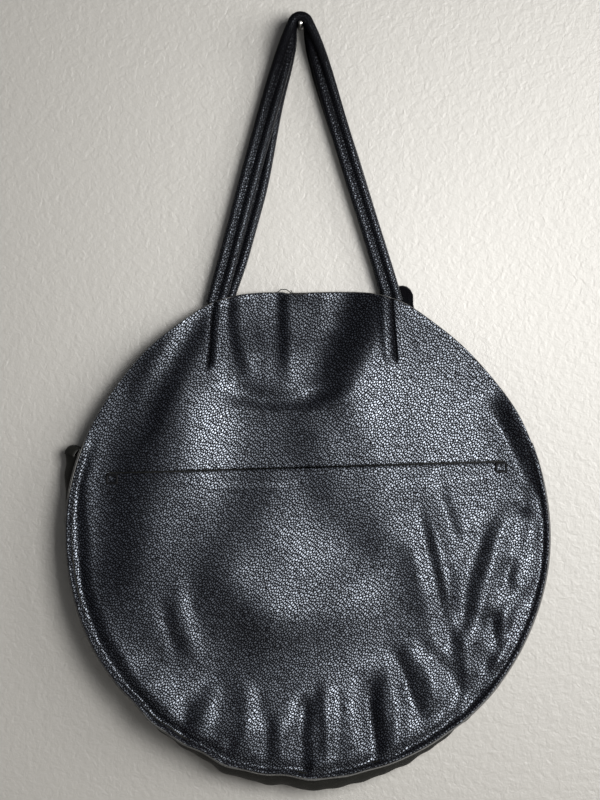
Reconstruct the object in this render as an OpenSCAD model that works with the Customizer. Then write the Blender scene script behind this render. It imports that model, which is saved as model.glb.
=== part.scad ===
// A round tote of soft pebbled leather: two disc panels joined round the bottom by a gusset,
// two rolled straps sewn in behind the rims, a slit pocket and a magnetic snap at the mouth.
// The origin is where a hook carries the straps. X runs along the rim, the front faces -Y, +Z is up.

/* [Panels] */
// Radius of the two disc panels, seam allowance included
panel_r = 200; // [150:1:240]
// Thickness of the leather
leather_t = 1.4; // [1:0.1:2]
// How far the straps pull the rim up where they are sewn in
rim_lift = 7; // [0:0.5:10]
// Depth of the bag at its bottom seam, back face to front face
bottom_depth = 58; // [45:1:75]
// How much the middle of the front panel swells past the plane of its seam
belly_depth = 12; // [4:1:16]
// Depth of the gathered pleats along the bottom of the front panel
pleat_depth = 3; // [0:0.5:4]
// Width of one gathered pleat at the rim
pleat_w = 22; // [16:1:30]

/* [Gusset] */
// Width of the leather that the edge seam takes
seam_w = 4; // [3:0.5:6]
// How far the gusset stands out past the seam along the sides
gusset_side_out = 2; // [1:0.5:4]
// How far it sags past the seam at the bottom
gusset_bottom_out = 11; // [4:0.5:14]
// How far it stands out past the seam at its two open ends
gusset_end_out = 5; // [2:0.5:7]
// Half width of the turned loop at each open end
hem_loop_w = 4; // [3:0.5:5]
// Half height of that loop
hem_loop_h = 3; // [2.5:0.5:4]
// Thickness of the leather where it is pared down for the hem
hem_t = 1; // [0.8:0.1:1.2]

/* [Straps] */
// Height of the hanging point over the strap roots
strap_drop = 229; // [180:1:280]
// Distance from the middle of the bag to the middle of each strap root
anchor_x = 73; // [60:1:90]
// Width of a strap across its two rolls
strap_w = 16.5; // [14:0.5:19]
// Thickness of one roll
strap_t = 8; // [7:0.5:9]
// Depth of the groove between the two rolls, on each face
strap_groove = 1.3; // [0.8:0.1:1.6]
// Thickness of the thin leather wrapped round the filler cords
wrap_t = 0.9; // [0.7:0.1:1.2]
// Radius of the hook that the straps hang on
hook_r = 3; // [2:0.5:5]
// Length of leg over which a strap twists, from flat over the hook to facing the front
twist_len = 80; // [50:5:120]

/* [Strap ends] */
// Length of each flat end that is sewn in behind the rim
end_len = 58; // [45:1:65]
// Thickness of the flat end below its taper
end_t = 3.2; // [2.6:0.1:3.6]
// Length over which the rolls taper to the flat end
end_taper = 14; // [10:1:20]
// Width of the reinforcing patch over each sewn end
patch_w = 24; // [20:1:30]
// Thickness of the reinforcing patch
patch_t = 1; // [0.8:0.1:1.2]

/* [Slit pocket] */
// Half length of the slit, as far as the panel has room for it
slit_half = 165; // [130:1:170]
// Height of the slit over the middle of the panel
slit_height = 54.5; // [40:0.5:60]
// Width of the slit's gap
slit_gap = 1.6; // [1.2:0.2:2.4]
// Height of each facing strip behind the slit
facing_h = 10; // [8:1:14]
// Thickness of a facing strip
facing_t = 0.9; // [0.7:0.1:1.2]
// Depth of the pocket pouch below the slit
pouch_h = 150; // [100:5:170]
// Thickness of the pouch cloth
cloth_t = 0.6; // [0.5:0.1:0.8]
// Space inside the empty pouch
pouch_gap = 0.9; // [0.6:0.1:1.2]

/* [Snap closure] */
// Width of the leather tabs that carry the snap
tab_w = 32; // [26:1:40]
// Height of those tabs
tab_h = 38; // [30:1:44]
// Corner radius of those tabs
tab_round = 5; // [3:1:8]
// Diameter of the snap
snap_d = 18; // [14:1:20]
// Thickness of the socket half
socket_t = 3.2; // [2.8:0.1:4]
// Wall of the socket's metal casing
casing_t = 0.5; // [0.4:0.1:0.6]
// Diameter of the socket's hole
socket_bore = 7.4; // [7:0.1:8]
// Diameter of the stud's boss
boss_d = 5.4; // [5:0.1:5.6]
// Height of the stud's boss
boss_h = 2.3; // [2:0.1:2.5]
// Thickness of the stud's plate
plate_t = 1.4; // [1.2:0.1:2]
// Length of the oval washer behind each tab
washer_w = 16; // [14:1:18]
// Thickness of that washer
washer_t = 0.6; // [0.5:0.1:0.8]

/* [Fits] */
// Gap between plies that are sewn or clamped together
ply_gap = 0.1; // [0.05:0.05:0.2]
// Gap between pieces that move against each other
part_gap = 0.3; // [0.2:0.05:0.4]
// Gap between curved plies of one seam
seam_gap = 0.3; // [0.2:0.05:0.4]

/* [Hidden] */

NEAR_BLACK = [0.10, 0.11, 0.14];
SMOOTH_BLACK = [0.07, 0.07, 0.09];
CLOTH_GREY = [0.25, 0.25, 0.27];
CORD_WHITE = [0.80, 0.78, 0.72];
NICKEL = [0.72, 0.72, 0.70];
FERRITE = [0.18, 0.18, 0.19];

// overrun of a cut past the face that it opens
cut = 1;

// Layers from back to front. The two straps lie one behind the other at y = 0.
strap_y = (strap_t + part_gap) / 2;
back_inner_y = strap_t + part_gap / 2 + part_gap;
back_outer_y = back_inner_y + leather_t;
rim_depth = 2 * back_outer_y;

// The rim of a panel in polar form: a is the angle from the top, in degrees
anchor_a = asin(anchor_x / panel_r);
lift_end_a = 72;
top_a = 3;
split_a = 66;
gusset_a = 69;
function lift_share(a) =
    a < anchor_a ? pow(sin(90 * a / anchor_a), 2) :
    a < lift_end_a ? pow(cos(90 * (a - anchor_a) / (lift_end_a - anchor_a)), 2) : 0;
function rim_r(a) = panel_r + rim_lift * lift_share(abs(a));
function rim_x(a) = rim_r(a) * sin(a);
function rim_h(a) = rim_r(a) * cos(a);

// Heights: the strap roots stand just over the highest rim beside them
root_a = asin((anchor_x - strap_w / 2) / panel_r);
root_z = -strap_drop;
panel_z = root_z - part_gap - ply_gap - rim_h(root_a);
split_h = rim_h(split_a);

// The slit ends clear of the edge seam
slit_margin = 15;
slit_end = min(slit_half, sqrt(pow(panel_r, 2) - pow(slit_height, 2)) - seam_w - slit_margin);

// Snap closure, layer by layer from the back panel forward
washer_back_y = back_inner_y - ply_gap;
tab_back_y = washer_back_y - washer_t - ply_gap;
socket_y = tab_back_y - leather_t - ply_gap;
plate_y = socket_y - socket_t - part_gap;
tab_front_y = plate_y - plate_t - ply_gap;
washer_front_y = tab_front_y - leather_t - ply_gap;
closed_depth = back_outer_y - (washer_front_y - washer_t - ply_gap - leather_t);
snap_h = panel_r - tab_h / 2;

// The front panel: depth of its outer face in front of the back panel's outer face.
// It leans out from the rim to the bottom seam, swells in the middle, is gathered into pleats
// along the bottom and is drawn back to the snap at the top.
pull_w_share = 0.9;
pull_h_share = 1.1;
pull_fade_share = 2.6;
snap_pull_w = pull_w_share * tab_w;
snap_pull_h = pull_h_share * tab_h;
snap_fade_h = pull_fade_share * tab_h;
function smooth(v) = let(c = max(0, min(1, v))) c * c * (3 - 2 * c);
function lean(h) = rim_depth
    + (bottom_depth - rim_depth) * max(0, (rim_h(root_a) - h) / (rim_h(root_a) + panel_r));
function belly(x, h) = belly_depth * max(0, 1 - (x * x + h * h) / (panel_r * panel_r));
function snap_share(x, h) =
    exp(-pow(x / snap_pull_w, 2)) * (1 - smooth((panel_r - h - snap_pull_h) / snap_fade_h));

// Pleats: angle of each from the bottom, to the right, and its depth as a share
pleat_turns = [-52, -34, -10, 2, 18, 34, 44, 62];
pleat_shares = [0.5, 0.8, 0.8, 1, 1, 0.8, 0.7, 0.5];
function from_bottom(x, h) = atan2(x, -h);
pleat_from_share = 0.55;
pleat_grow_share = 0.25;
pleat_to_share = 0.975;
pleat_fade_share = 0.08;
function pleat_reach(r) = smooth((r / panel_r - pleat_from_share) / pleat_grow_share)
    * smooth((pleat_to_share - r / panel_r) / pleat_fade_share);
function pleat_one(x, h, k) = pleat_shares[k]
    * exp(-pow((from_bottom(x, h) - pleat_turns[k]) / (2 * atan(pleat_w / 4 / panel_r)), 2));
function pleats(x, h) = let(r = norm([x, h])) pleat_depth * pleat_reach(r)
    * (pleat_one(x, h, 0) + pleat_one(x, h, 1) + pleat_one(x, h, 2) + pleat_one(x, h, 3)
    + pleat_one(x, h, 4) + pleat_one(x, h, 5) + pleat_one(x, h, 6) + pleat_one(x, h, 7));
function free_depth(x, h) = lean(h) + belly(x, h) - pleats(x, h);
function front_depth(x, h) = let(s = snap_share(x, h))
    free_depth(x, h) * (1 - s) + closed_depth * s;
function front_y(x, h) = back_outer_y - front_depth(x, h);

// A sheet that follows the front panel at an inset behind its outer face.
// Each row is [height, half width]; cols is even, so that the middle column is at x = 0.
module front_sheet(rows, cols, inset, thick) {
    n = len(rows);
    function at(i, j, y) = let(h = rows[i][0], x = rows[i][1] * (2 * j / cols - 1))
        [x, front_y(x, h) + y, panel_z + h];
    function id(side, i, j) = side * n * (cols + 1) + i * (cols + 1) + j;
    points = [for (y = [inset, inset + thick]) for (i = [0 : n - 1]) for (j = [0 : cols]) at(i, j, y)];
    quads = concat(
        [for (i = [0 : n - 2]) for (j = [0 : cols - 1])
            [id(0, i, j), id(0, i, j + 1), id(0, i + 1, j + 1), id(0, i + 1, j)]],
        [for (i = [0 : n - 2]) for (j = [0 : cols - 1])
            [id(1, i, j), id(1, i + 1, j), id(1, i + 1, j + 1), id(1, i, j + 1)]],
        [for (j = [0 : cols - 1]) [id(0, 0, j), id(1, 0, j), id(1, 0, j + 1), id(0, 0, j + 1)]],
        [for (j = [0 : cols - 1])
            [id(0, n - 1, j), id(0, n - 1, j + 1), id(1, n - 1, j + 1), id(1, n - 1, j)]],
        [for (i = [0 : n - 2]) [id(0, i, 0), id(0, i + 1, 0), id(1, i + 1, 0), id(1, i, 0)]],
        [for (i = [0 : n - 2])
            [id(0, i, cols), id(1, i, cols), id(1, i + 1, cols), id(0, i + 1, cols)]]);
    polyhedron(points, [for (q = quads) for (t = [[q[0], q[1], q[2]], [q[0], q[2], q[3]]]) t]);
}

// A solid through a list of closed rings with as many points each. Each end is closed by one
// face, or where the ring is a thin strip, by a row of faces across it.
module ring_skin(rings, strip = false) {
    n = len(rings);
    m = len(rings[0]);
    sides = [for (i = [0 : n - 2]) for (j = [0 : m - 1]) let(k = (j + 1) % m)
        for (t = [[i * m + j, i * m + k, (i + 1) * m + k], [i * m + j, (i + 1) * m + k, (i + 1) * m + j]]) t];
    across = [for (j = [0 : m / 2 - 2])
        for (t = [[j, m - 1 - j, j + 1], [j + 1, m - 1 - j, m - 2 - j]]) t];
    first = strip ? across : [[for (j = [0 : m - 1]) m - 1 - j]];
    last = strip ? [for (t = across) [for (k = [2, 1, 0]) (n - 1) * m + t[k]]]
        : [[for (j = [0 : m - 1]) (n - 1) * m + j]];
    polyhedron([for (r = rings) for (p = r) p], concat(sides, first, last));
}

function rim_rows(from_a, to_a, steps) =
    [for (i = [0 : steps]) let(a = from_a + (to_a - from_a) * i / steps) [rim_h(a), rim_x(a)]];

// Points of the back panel's outline, and rows and columns of the front panel
rim_steps = 120;
lower_rows = 26;
upper_rows = 13;
panel_cols = 28;

// The back panel is flat against the wall or the wearer
module back_panel() {
    outline = [for (k = [1 : rim_steps]) let(a = 360 * k / rim_steps - 180) [rim_x(a), rim_h(a)]];
    color(NEAR_BLACK)
        translate([0, back_outer_y, panel_z]) rotate([90, 0, 0]) linear_extrude(leather_t) polygon(outline);
}

// The front panel up to the gusset ends, cut by the pocket slit
module front_panel_lower() {
    color(NEAR_BLACK) difference() {
        front_sheet(rim_rows(split_a, 180 - top_a, lower_rows), panel_cols, 0, leather_t);
        translate([-slit_end, -bottom_depth - belly_depth, panel_z + slit_height - slit_gap / 2])
            cube([2 * slit_end, 2 * (bottom_depth + belly_depth), slit_gap]);
    }
}

// The same leather above the gusset ends, which the wearer draws open
module front_panel_upper() {
    last_a = split_a - (split_a - top_a) / upper_rows;
    rows = concat(rim_rows(top_a, last_a, upper_rows), [[split_h + part_gap, rim_x(split_a)]]);
    color(NEAR_BLACK) front_sheet(rows, panel_cols, 0, leather_t);
}

// Gusset: a is the angle from the top, out is how far the wall stands past the panel's edge
end_fade_a = 20;
sag_from_a = 125;
function gusset_out(a) = gusset_side_out
    + (gusset_end_out - gusset_side_out) * (1 - smooth((a - gusset_a) / end_fade_a))
    + (gusset_bottom_out - gusset_side_out) * smooth((a - sag_from_a) / (180 - sag_from_a));
function stitch_r(a) = rim_r(a) - seam_w;
function front_flange_y(a) = front_y(rim_x(a), rim_h(a)) + leather_t + seam_gap;
function back_flange_y(a) = back_inner_y - ply_gap;
function polar(r, a, y) = [r * sin(a), y, panel_z + r * cos(a)];

// The wall's outer face across the gusset: v runs from the back seam to the front seam
wall_steps = 10;
wall_nudge = 0.02;
wall_round = 0.8;
function wall_at(a, v) = [
    stitch_r(a) + (seam_w + gusset_out(a)) * pow(sin(180 * v), wall_round),
    (back_flange_y(a) - leather_t) * (1 - v) + (front_flange_y(a) + leather_t) * v
];
function wall_normal(a, v) =
    let(d = wall_at(a, v + wall_nudge) - wall_at(a, v - wall_nudge)) [-d[1], d[0]] / norm(d);
function wall_inner(a, v) = wall_at(a, v) - leather_t * wall_normal(a, v);

// The whole strip across the gusset, back flange, wall and front flange: its two faces,
// each as a list of points from the back edge to the front edge
fold_r = 2 * leather_t;
function strip_outside(a) = concat(
    [[rim_r(a), back_flange_y(a) - leather_t]],
    [for (k = [0 : wall_steps]) wall_at(a, k / wall_steps)],
    [[rim_r(a), front_flange_y(a) + leather_t]]);
function strip_inside(a) = concat(
    [[rim_r(a), back_flange_y(a)], [stitch_r(a) - fold_r, back_flange_y(a)]],
    [for (k = [1 : wall_steps - 1]) wall_inner(a, k / wall_steps)],
    [[stitch_r(a) - fold_r, front_flange_y(a)], [rim_r(a), front_flange_y(a)]]);
function backward(list) = [for (k = [len(list) - 1 : -1 : 0]) list[k]];
function strip_ring(a, side) =
    [for (p = concat(strip_inside(a), backward(strip_outside(a)))) polar(p[0], side * a, p[1])];

// Turned hem at each open end: the leather rolls over into an oval loop, left open underneath.
// It is a C in the radial plane, swept across the gusset between the two seams.
loop_steps = 8;
loop_from_t = -12;
loop_to_t = 285;
loop_rows = 6;
loop_inset_share = 0.23;
function loop_point(v, side, w, h, t) =
    let(p = wall_at(gusset_a, v), r = p[0] - (leather_t + hem_t) / 2 + hem_loop_w - w * cos(t))
    polar(r, side * (gusset_a - h * sin(t) / panel_r * 180 / PI), p[1]);
function loop_t(k) = loop_from_t + (loop_to_t - loop_from_t) * k / loop_steps;
function loop_arc(v, side, w, h) = [for (k = [0 : loop_steps]) loop_point(v, side, w, h, loop_t(k))];
function loop_ring(v, side) = concat(
    loop_arc(v, side, hem_loop_w, hem_loop_h),
    backward(loop_arc(v, side, hem_loop_w - hem_t, hem_loop_h - hem_t)));
function loop_rings(side) = [
    for (k = [0 : loop_rows]) let(v = loop_inset_share + (1 - 2 * loop_inset_share) * k / loop_rows)
        side > 0 ? loop_ring(v, side) : backward(loop_ring(v, side))
];

// One strip of smooth leather round the bottom, its edges turned out beside those of the panels
gusset_steps = 38;
module gusset() {
    angles = [for (i = [0 : gusset_steps]) gusset_a + (360 - 2 * gusset_a) * i / gusset_steps];
    function folded(a) = a <= 180 ? a : 360 - a;
    function sided(a) = a <= 180 ? 1 : -1;
    color(SMOOTH_BLACK) union() {
        ring_skin([for (a = angles) strip_ring(folded(a), sided(a))], true);
        ring_skin(loop_rings(-1), true);
        ring_skin(loop_rings(1), true);
    }
}

// Straps: two filler cords side by side in a thin leather wrap, bent flatwise over the hook
roll_x = (strap_w - strap_t) / 2;
bend_r = hook_r + strap_t / 2;
bend_z = -hook_r;
root_dist = norm([anchor_x, root_z - bend_z]);
leg_a = atan2(anchor_x, bend_z - root_z) - asin(bend_r / root_dist);
leg_len = sqrt(root_dist * root_dist - bend_r * bend_r);

// The wrap's outline across a strap, as [across, thickness], and that of one cord at the side given
roll_steps = 7;
roll_from_t = -25;
cord_sides = 8;
waist_share = 0.15;
function roll_point(side, k) = let(t = roll_from_t + (180 - 2 * roll_from_t) * k / roll_steps)
    [side * (roll_x + strap_t / 2 * sin(t)), strap_t / 2 * cos(t)];
function waist(side, face) = [side * roll_x * waist_share, face * (strap_t / 2 - strap_groove)];
function wrap_outline() = concat(
    [for (k = [0 : roll_steps]) roll_point(1, k)], [waist(1, -1), waist(-1, -1)],
    [for (k = [roll_steps : -1 : 0]) roll_point(-1, k)], [waist(-1, 1), waist(1, 1)]);
function cord_outline(side, d) = [
    for (k = [0 : cord_sides - 1]) let(t = 360 * k / cord_sides)
        [side * roll_x + d / 2 * sin(t), d / 2 * cos(t)]
];

// The straps face the front at the bag and turn side on over the hook, where they lie one before
// the other. Each place is given by the turn there: the back strap keeps off the wall, and the
// front strap keeps off the back strap.
layer_gap = 2 * part_gap;
function back_layer_y(turn) = strap_y - (roll_x - (back_inner_y - strap_y - strap_t / 2)) * sin(turn);
function layer_pitch(turn) = max(2 * strap_y, 2 * roll_x * sin(turn)
    + sqrt(max(0, pow(strap_t + layer_gap, 2) - pow(2 * roll_x * cos(turn), 2))));
function layer_y(front, turn) = back_layer_y(turn) - (front ? layer_pitch(turn) : 0);

// Carries an outline over the hook and down both legs to a level cut at the height given.
// t is the angle round the hook; the legs leave its bend straight and lean out by leg_a.
bend_steps = 8;
twist_steps = 6;
function placed(p, t, turn, front) = let(
    r = bend_r + p[0] * cos(turn) + p[1] * sin(turn),
    y = layer_y(front, turn) - p[0] * sin(turn) + p[1] * cos(turn))
    [r * cos(t), y, bend_z + r * sin(t)];
function leg_t(side) = 90 - side * (90 - leg_a);
function down_leg(q, side, down) = q + down * [side * sin(leg_a), 0, -cos(leg_a)];
function leg_ring(outline, side, k, front) = let(turn = 90 * (1 - k / twist_steps))
    [for (p = outline) down_leg(placed(p, leg_t(side), turn, front), side, twist_len * k / twist_steps)];
function foot_ring(outline, side, z, front) = [
    for (p = outline) let(q = placed(p, leg_t(side), 0, front)) down_leg(q, side, (q[2] - z) / cos(leg_a))
];
module over_the_hook(outline, front, foot_z) {
    bends = [for (k = [0 : bend_steps]) leg_a + (180 - 2 * leg_a) * k / bend_steps];
    ring_skin(concat(
        [foot_ring(outline, 1, foot_z, front)],
        [for (k = [twist_steps : -1 : 1]) leg_ring(outline, 1, k, front)],
        [for (t = bends) [for (p = outline) placed(p, t, 90, front)]],
        [for (k = [1 : twist_steps]) leg_ring(outline, -1, k, front)],
        [foot_ring(outline, -1, foot_z, front)]));
}

module strap_wrap(front) {
    difference() {
        over_the_hook(wrap_outline(), front, root_z);
        for (side = [-1, 1])
            over_the_hook(cord_outline(side, strap_t - 2 * wrap_t), front, root_z - cut);
    }
}

module strap_cords(front) {
    for (side = [-1, 1])
        over_the_hook(cord_outline(side, strap_t - 2 * wrap_t - 2 * ply_gap), front, root_z);
}

module front_strap() { color(NEAR_BLACK) strap_wrap(true); }
module front_strap_cords() { color(CORD_WHITE) strap_cords(true); }
module back_strap() { color(NEAR_BLACK) strap_wrap(false); }
module back_strap_cords() { color(CORD_WHITE) strap_cords(false); }

// Sewn ends. Their outer face follows the panel: drop is the distance below the rim's top at the root.
end_steps = 4;
function front_seat_y(drop) = let(h = root_z - ply_gap - drop - panel_z)
    max([for (side = [-1, 0, 1]) front_y(anchor_x + side * strap_w / 2, h)]) + leather_t + part_gap;
function front_end_y(drop) = drop <= 0 ? -strap_y - strap_t / 2 : front_seat_y(drop);
function end_thick(drop) = drop < end_taper ? strap_t - (strap_t - end_t) * drop / end_taper : end_t;
function end_drops() =
    concat([0], [for (k = [0 : end_steps]) end_taper + (end_len - end_taper) * k / end_steps]);

// A piece as wide as w whose side view is the outline of [y, z] points, about the strap root
module side_profile(points, w, side) {
    translate([side * anchor_x - w / 2, 0, 0]) rotate([90, 0, 90]) linear_extrude(w) polygon(points);
}

module front_strap_end(side) {
    front = [for (d = end_drops()) [front_end_y(d), root_z - ply_gap - d]];
    back = [for (d = end_drops()) [front_end_y(d) + end_thick(d), root_z - ply_gap - d]];
    color(NEAR_BLACK) side_profile(concat(front, backward(back)), strap_w, side);
}

module back_strap_end(side) {
    seat = back_inner_y - part_gap;
    outer = [[seat, root_z - ply_gap], [seat, root_z - ply_gap - end_len]];
    inner = [for (d = backward(end_drops())) [seat - end_thick(d), root_z - ply_gap - d]];
    color(NEAR_BLACK) side_profile(concat(outer, inner), strap_w, side);
}

module front_patch(side) {
    drops = [for (d = end_drops()) if (d >= end_taper) d];
    function seat(d) = front_end_y(d) + end_t + ply_gap;
    front = [for (d = drops) [seat(d), root_z - ply_gap - d]];
    back = [for (d = backward(drops)) [seat(d) + patch_t, root_z - ply_gap - d]];
    color(SMOOTH_BLACK) side_profile(concat(front, back), patch_w, side);
}

module back_patch(side) {
    seat = back_inner_y - part_gap - end_t - ply_gap;
    top = root_z - ply_gap - end_taper;
    bottom = root_z - ply_gap - end_len;
    outline = [[seat, top], [seat, bottom], [seat - patch_t, bottom], [seat - patch_t, top]];
    color(SMOOTH_BLACK) side_profile(outline, patch_w, side);
}

module front_strap_end_left() { front_strap_end(-1); }
module front_strap_end_right() { front_strap_end(1); }
module back_strap_end_left() { back_strap_end(-1); }
module back_strap_end_right() { back_strap_end(1); }
module front_patch_left() { front_patch(-1); }
module front_patch_right() { front_patch(1); }
module back_patch_left() { back_patch(-1); }
module back_patch_right() { back_patch(1); }

// Slit pocket: two facings behind the slit's edges and a cloth pouch that hangs from them
facing_inset = leather_t + seam_gap;
pouch_inset = facing_inset + facing_t + seam_gap;
pouch_t = 2 * cloth_t + pouch_gap;
pouch_half = slit_end - facing_h / 2;
strip_cols = 24;
function strip_rows(low_h, high_h) = [[high_h, slit_end], [low_h, slit_end]];

module slit_facing_upper() {
    low = slit_height + slit_gap / 2;
    color(SMOOTH_BLACK) front_sheet(strip_rows(low, low + facing_h), strip_cols, facing_inset, facing_t);
}

module slit_facing_lower() {
    high = slit_height - slit_gap / 2;
    color(SMOOTH_BLACK) front_sheet(strip_rows(high - facing_h, high), strip_cols, facing_inset, facing_t);
}

// The pouch narrows a little toward the bottom, inside the round of the panel
pouch_cols = 20;
pouch_steps = 6;
pouch_taper_share = 0.28;
function pouch_rows(high, low, half) = [
    for (i = [0 : pouch_steps]) let(v = i / pouch_steps)
        [high + (low - high) * v, half * (1 - pouch_taper_share * v * v)]
];
module pocket_pouch() {
    high = slit_height - slit_gap / 2;
    low = high - pouch_h;
    color(CLOTH_GREY) difference() {
        front_sheet(pouch_rows(high, low, pouch_half), pouch_cols, pouch_inset, pouch_t);
        front_sheet(pouch_rows(high + cut, low + facing_h / 2, pouch_half - facing_h / 2), pouch_cols,
            pouch_inset + cloth_t, pouch_gap);
    }
}

// Snap closure: a tab, a washer and half a snap on each panel
module rounded_tab(y) {
    translate([0, y, panel_z + snap_h]) rotate([90, 0, 0]) linear_extrude(leather_t)
        offset(r = tab_round, $fn = 32) square([tab_w - 2 * tab_round, tab_h - 2 * tab_round], center = true);
}

module snap_disc(y, d, t) {
    translate([0, y, panel_z + snap_h]) rotate([90, 0, 0]) cylinder(d = d, h = t, $fn = 64);
}

// The washer is half as high as it is long
washer_hole_share = 0.17;
module oval_washer(y) {
    washer_h = washer_w / 2;
    translate([0, y, panel_z + snap_h]) rotate([90, 0, 0]) linear_extrude(washer_t) difference() {
        union() {
            for (side = [-1, 1]) translate([side * washer_h / 2, 0]) circle(d = washer_h, $fn = 32);
            square([washer_h, washer_h], center = true);
        }
        circle(d = washer_hole_share * washer_w, $fn = 24);
    }
}

module closure_tab_back() { color(SMOOTH_BLACK) rounded_tab(tab_back_y); }
module closure_tab_front() { color(SMOOTH_BLACK) rounded_tab(tab_front_y); }
module snap_washer_back() { color(NICKEL) oval_washer(washer_back_y); }
module snap_washer_front() { color(NICKEL) oval_washer(washer_front_y); }

// Casing of the socket: a cup round the ring magnet, with the hole for the boss
module snap_socket() {
    color(NICKEL) difference() {
        snap_disc(socket_y, snap_d, socket_t);
        snap_disc(socket_y - casing_t, snap_d - 2 * casing_t, socket_t - 2 * casing_t);
        snap_disc(socket_y - casing_t, socket_bore, socket_t);
    }
}

module snap_magnet() {
    color(FERRITE) difference() {
        snap_disc(socket_y - casing_t - ply_gap, snap_d - 2 * casing_t - 2 * ply_gap,
            socket_t - 2 * casing_t - 2 * ply_gap);
        snap_disc(socket_y, socket_bore + 2 * ply_gap, socket_t);
    }
}

module snap_stud() {
    color(NICKEL) union() {
        snap_disc(plate_y, snap_d, plate_t);
        snap_disc(plate_y + boss_h, boss_d, boss_h + plate_t / 2);
    }
}

back_panel();
front_panel_lower();
front_panel_upper();
gusset();
front_strap();
front_strap_cords();
back_strap();
back_strap_cords();
front_strap_end_left();
front_strap_end_right();
back_strap_end_left();
back_strap_end_right();
front_patch_left();
front_patch_right();
back_patch_left();
back_patch_right();
slit_facing_upper();
slit_facing_lower();
pocket_pouch();
closure_tab_front();
closure_tab_back();
snap_stud();
snap_socket();
snap_magnet();
snap_washer_front();
snap_washer_back();
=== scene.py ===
"""Looks of the round leather tote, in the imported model's frame: metres, +Z up, front towards -Y.

Shapes are worked out with numpy in millimetres, with the same named values as the construction, and put
into meshes in metres. x and h are measured on a panel from the middle of its circle, and a is the angle
from the top of that circle, in degrees, positive to the right.
"""

import math

import bpy
import numpy as np
from mathutils import Matrix, Vector


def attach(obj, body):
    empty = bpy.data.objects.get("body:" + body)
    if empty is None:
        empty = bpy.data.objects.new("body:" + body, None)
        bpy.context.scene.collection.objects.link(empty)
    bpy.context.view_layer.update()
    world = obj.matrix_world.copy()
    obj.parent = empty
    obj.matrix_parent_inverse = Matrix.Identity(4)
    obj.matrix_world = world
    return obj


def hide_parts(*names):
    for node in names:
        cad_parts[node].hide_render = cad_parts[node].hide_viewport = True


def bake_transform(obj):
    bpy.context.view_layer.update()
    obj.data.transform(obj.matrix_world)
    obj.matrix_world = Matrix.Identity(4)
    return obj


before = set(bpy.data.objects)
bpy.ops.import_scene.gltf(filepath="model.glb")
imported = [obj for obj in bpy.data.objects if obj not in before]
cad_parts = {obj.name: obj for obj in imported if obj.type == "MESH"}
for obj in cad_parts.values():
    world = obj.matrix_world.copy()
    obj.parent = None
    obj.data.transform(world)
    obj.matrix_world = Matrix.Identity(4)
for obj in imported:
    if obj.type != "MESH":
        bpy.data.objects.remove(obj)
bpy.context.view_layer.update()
MM = 0.001

# Values of the construction, in mm
PANEL_R = 200.0
LEATHER_T = 1.4
RIM_LIFT = 7.0
BOTTOM_DEPTH = 58.0
BELLY_DEPTH = 12.0
PLEAT_DEPTH = 3.0
PLEAT_W = 22.0
SEAM_W = 4.0
GUSSET_SIDE_OUT = 2.0
GUSSET_BOTTOM_OUT = 11.0
GUSSET_END_OUT = 5.0
HEM_T = 1.0
STRAP_DROP = 229.0
ANCHOR_X = 73.0
STRAP_W = 16.5
STRAP_T = 8.0
WRAP_T = 0.9
HOOK_R = 3.0
TWIST_LEN = 80.0
END_LEN = 58.0
END_T = 3.2
END_TAPER = 14.0
PATCH_W = 24.0
PATCH_T = 1.0
SLIT_HALF = 165.0
SLIT_HEIGHT = 54.5
SLIT_GAP = 1.6
FACING_H = 10.0
FACING_T = 0.9
POUCH_H = 150.0
CLOTH_T = 0.6
POUCH_GAP = 0.9
TAB_W = 32.0
TAB_H = 38.0
TAB_ROUND = 5.0
SOCKET_T = 3.2
PLATE_T = 1.4
WASHER_T = 0.6
PLY_GAP = 0.1
PART_GAP = 0.3
SEAM_GAP = 0.3
LIFT_END_A = 72.0
GUSSET_A = 69.0
PLEAT_TURNS = (-52, -34, -10, 2, 18, 34, 44, 62)
PLEAT_SHARES = (0.4, 0.5, 0.1, 1.1, 1, 0.6, 0.7, 0.5)

STRAP_Y = (STRAP_T + PART_GAP) / 2
BACK_INNER_Y = STRAP_T + PART_GAP / 2 + PART_GAP
BACK_OUTER_Y = BACK_INNER_Y + LEATHER_T
RIM_DEPTH = 2 * BACK_OUTER_Y
ANCHOR_A = math.degrees(math.asin(ANCHOR_X / PANEL_R))
BEND_R = HOOK_R + STRAP_T / 2
BEND_Z = -HOOK_R
ROOT_Z = -STRAP_DROP


def smooth(v):
    """0 below 0, 1 above 1, and 3v^2 - 2v^3 between."""
    c = np.clip(v, 0, 1)
    return c * c * (3 - 2 * c)


def hump(v):
    """Bell curve exp(-v^2)."""
    return np.exp(-np.square(v))


def sin_d(a):
    return np.sin(np.radians(a))


def cos_d(a):
    return np.cos(np.radians(a))


def rim_r(a):
    """Radius of a panel's rim: it rises to the strap roots, and falls off towards the gusset's ends."""
    a = np.abs(a)
    inside = sin_d(90 * np.minimum(a, ANCHOR_A) / ANCHOR_A) ** 2
    outside = cos_d(90 * np.clip((a - ANCHOR_A) / (LIFT_END_A - ANCHOR_A), 0, 1)) ** 2
    return PANEL_R + RIM_LIFT * np.where(a < ANCHOR_A, inside, outside)


ROOT_A = math.degrees(math.asin((ANCHOR_X - STRAP_W / 2) / PANEL_R))
ROOT_RIM_H = float(rim_r(ROOT_A)) * math.cos(math.radians(ROOT_A))
PANEL_Z = ROOT_Z - PART_GAP - PLY_GAP - ROOT_RIM_H

def polar(x, h):
    """Radius and angle from the top, in degrees, of a place on a panel."""
    return np.hypot(x, h), np.degrees(np.arctan2(x, h))


def panel_points(x, y, h):
    """Points in the part's frame, in mm, of places on a panel at the depth y."""
    return np.stack([x, y, PANEL_Z + h], -1)


def rim_points(radius, a, y):
    """The same of places given by radius and angle."""
    return panel_points(radius * sin_d(a), y, radius * cos_d(a))


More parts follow.
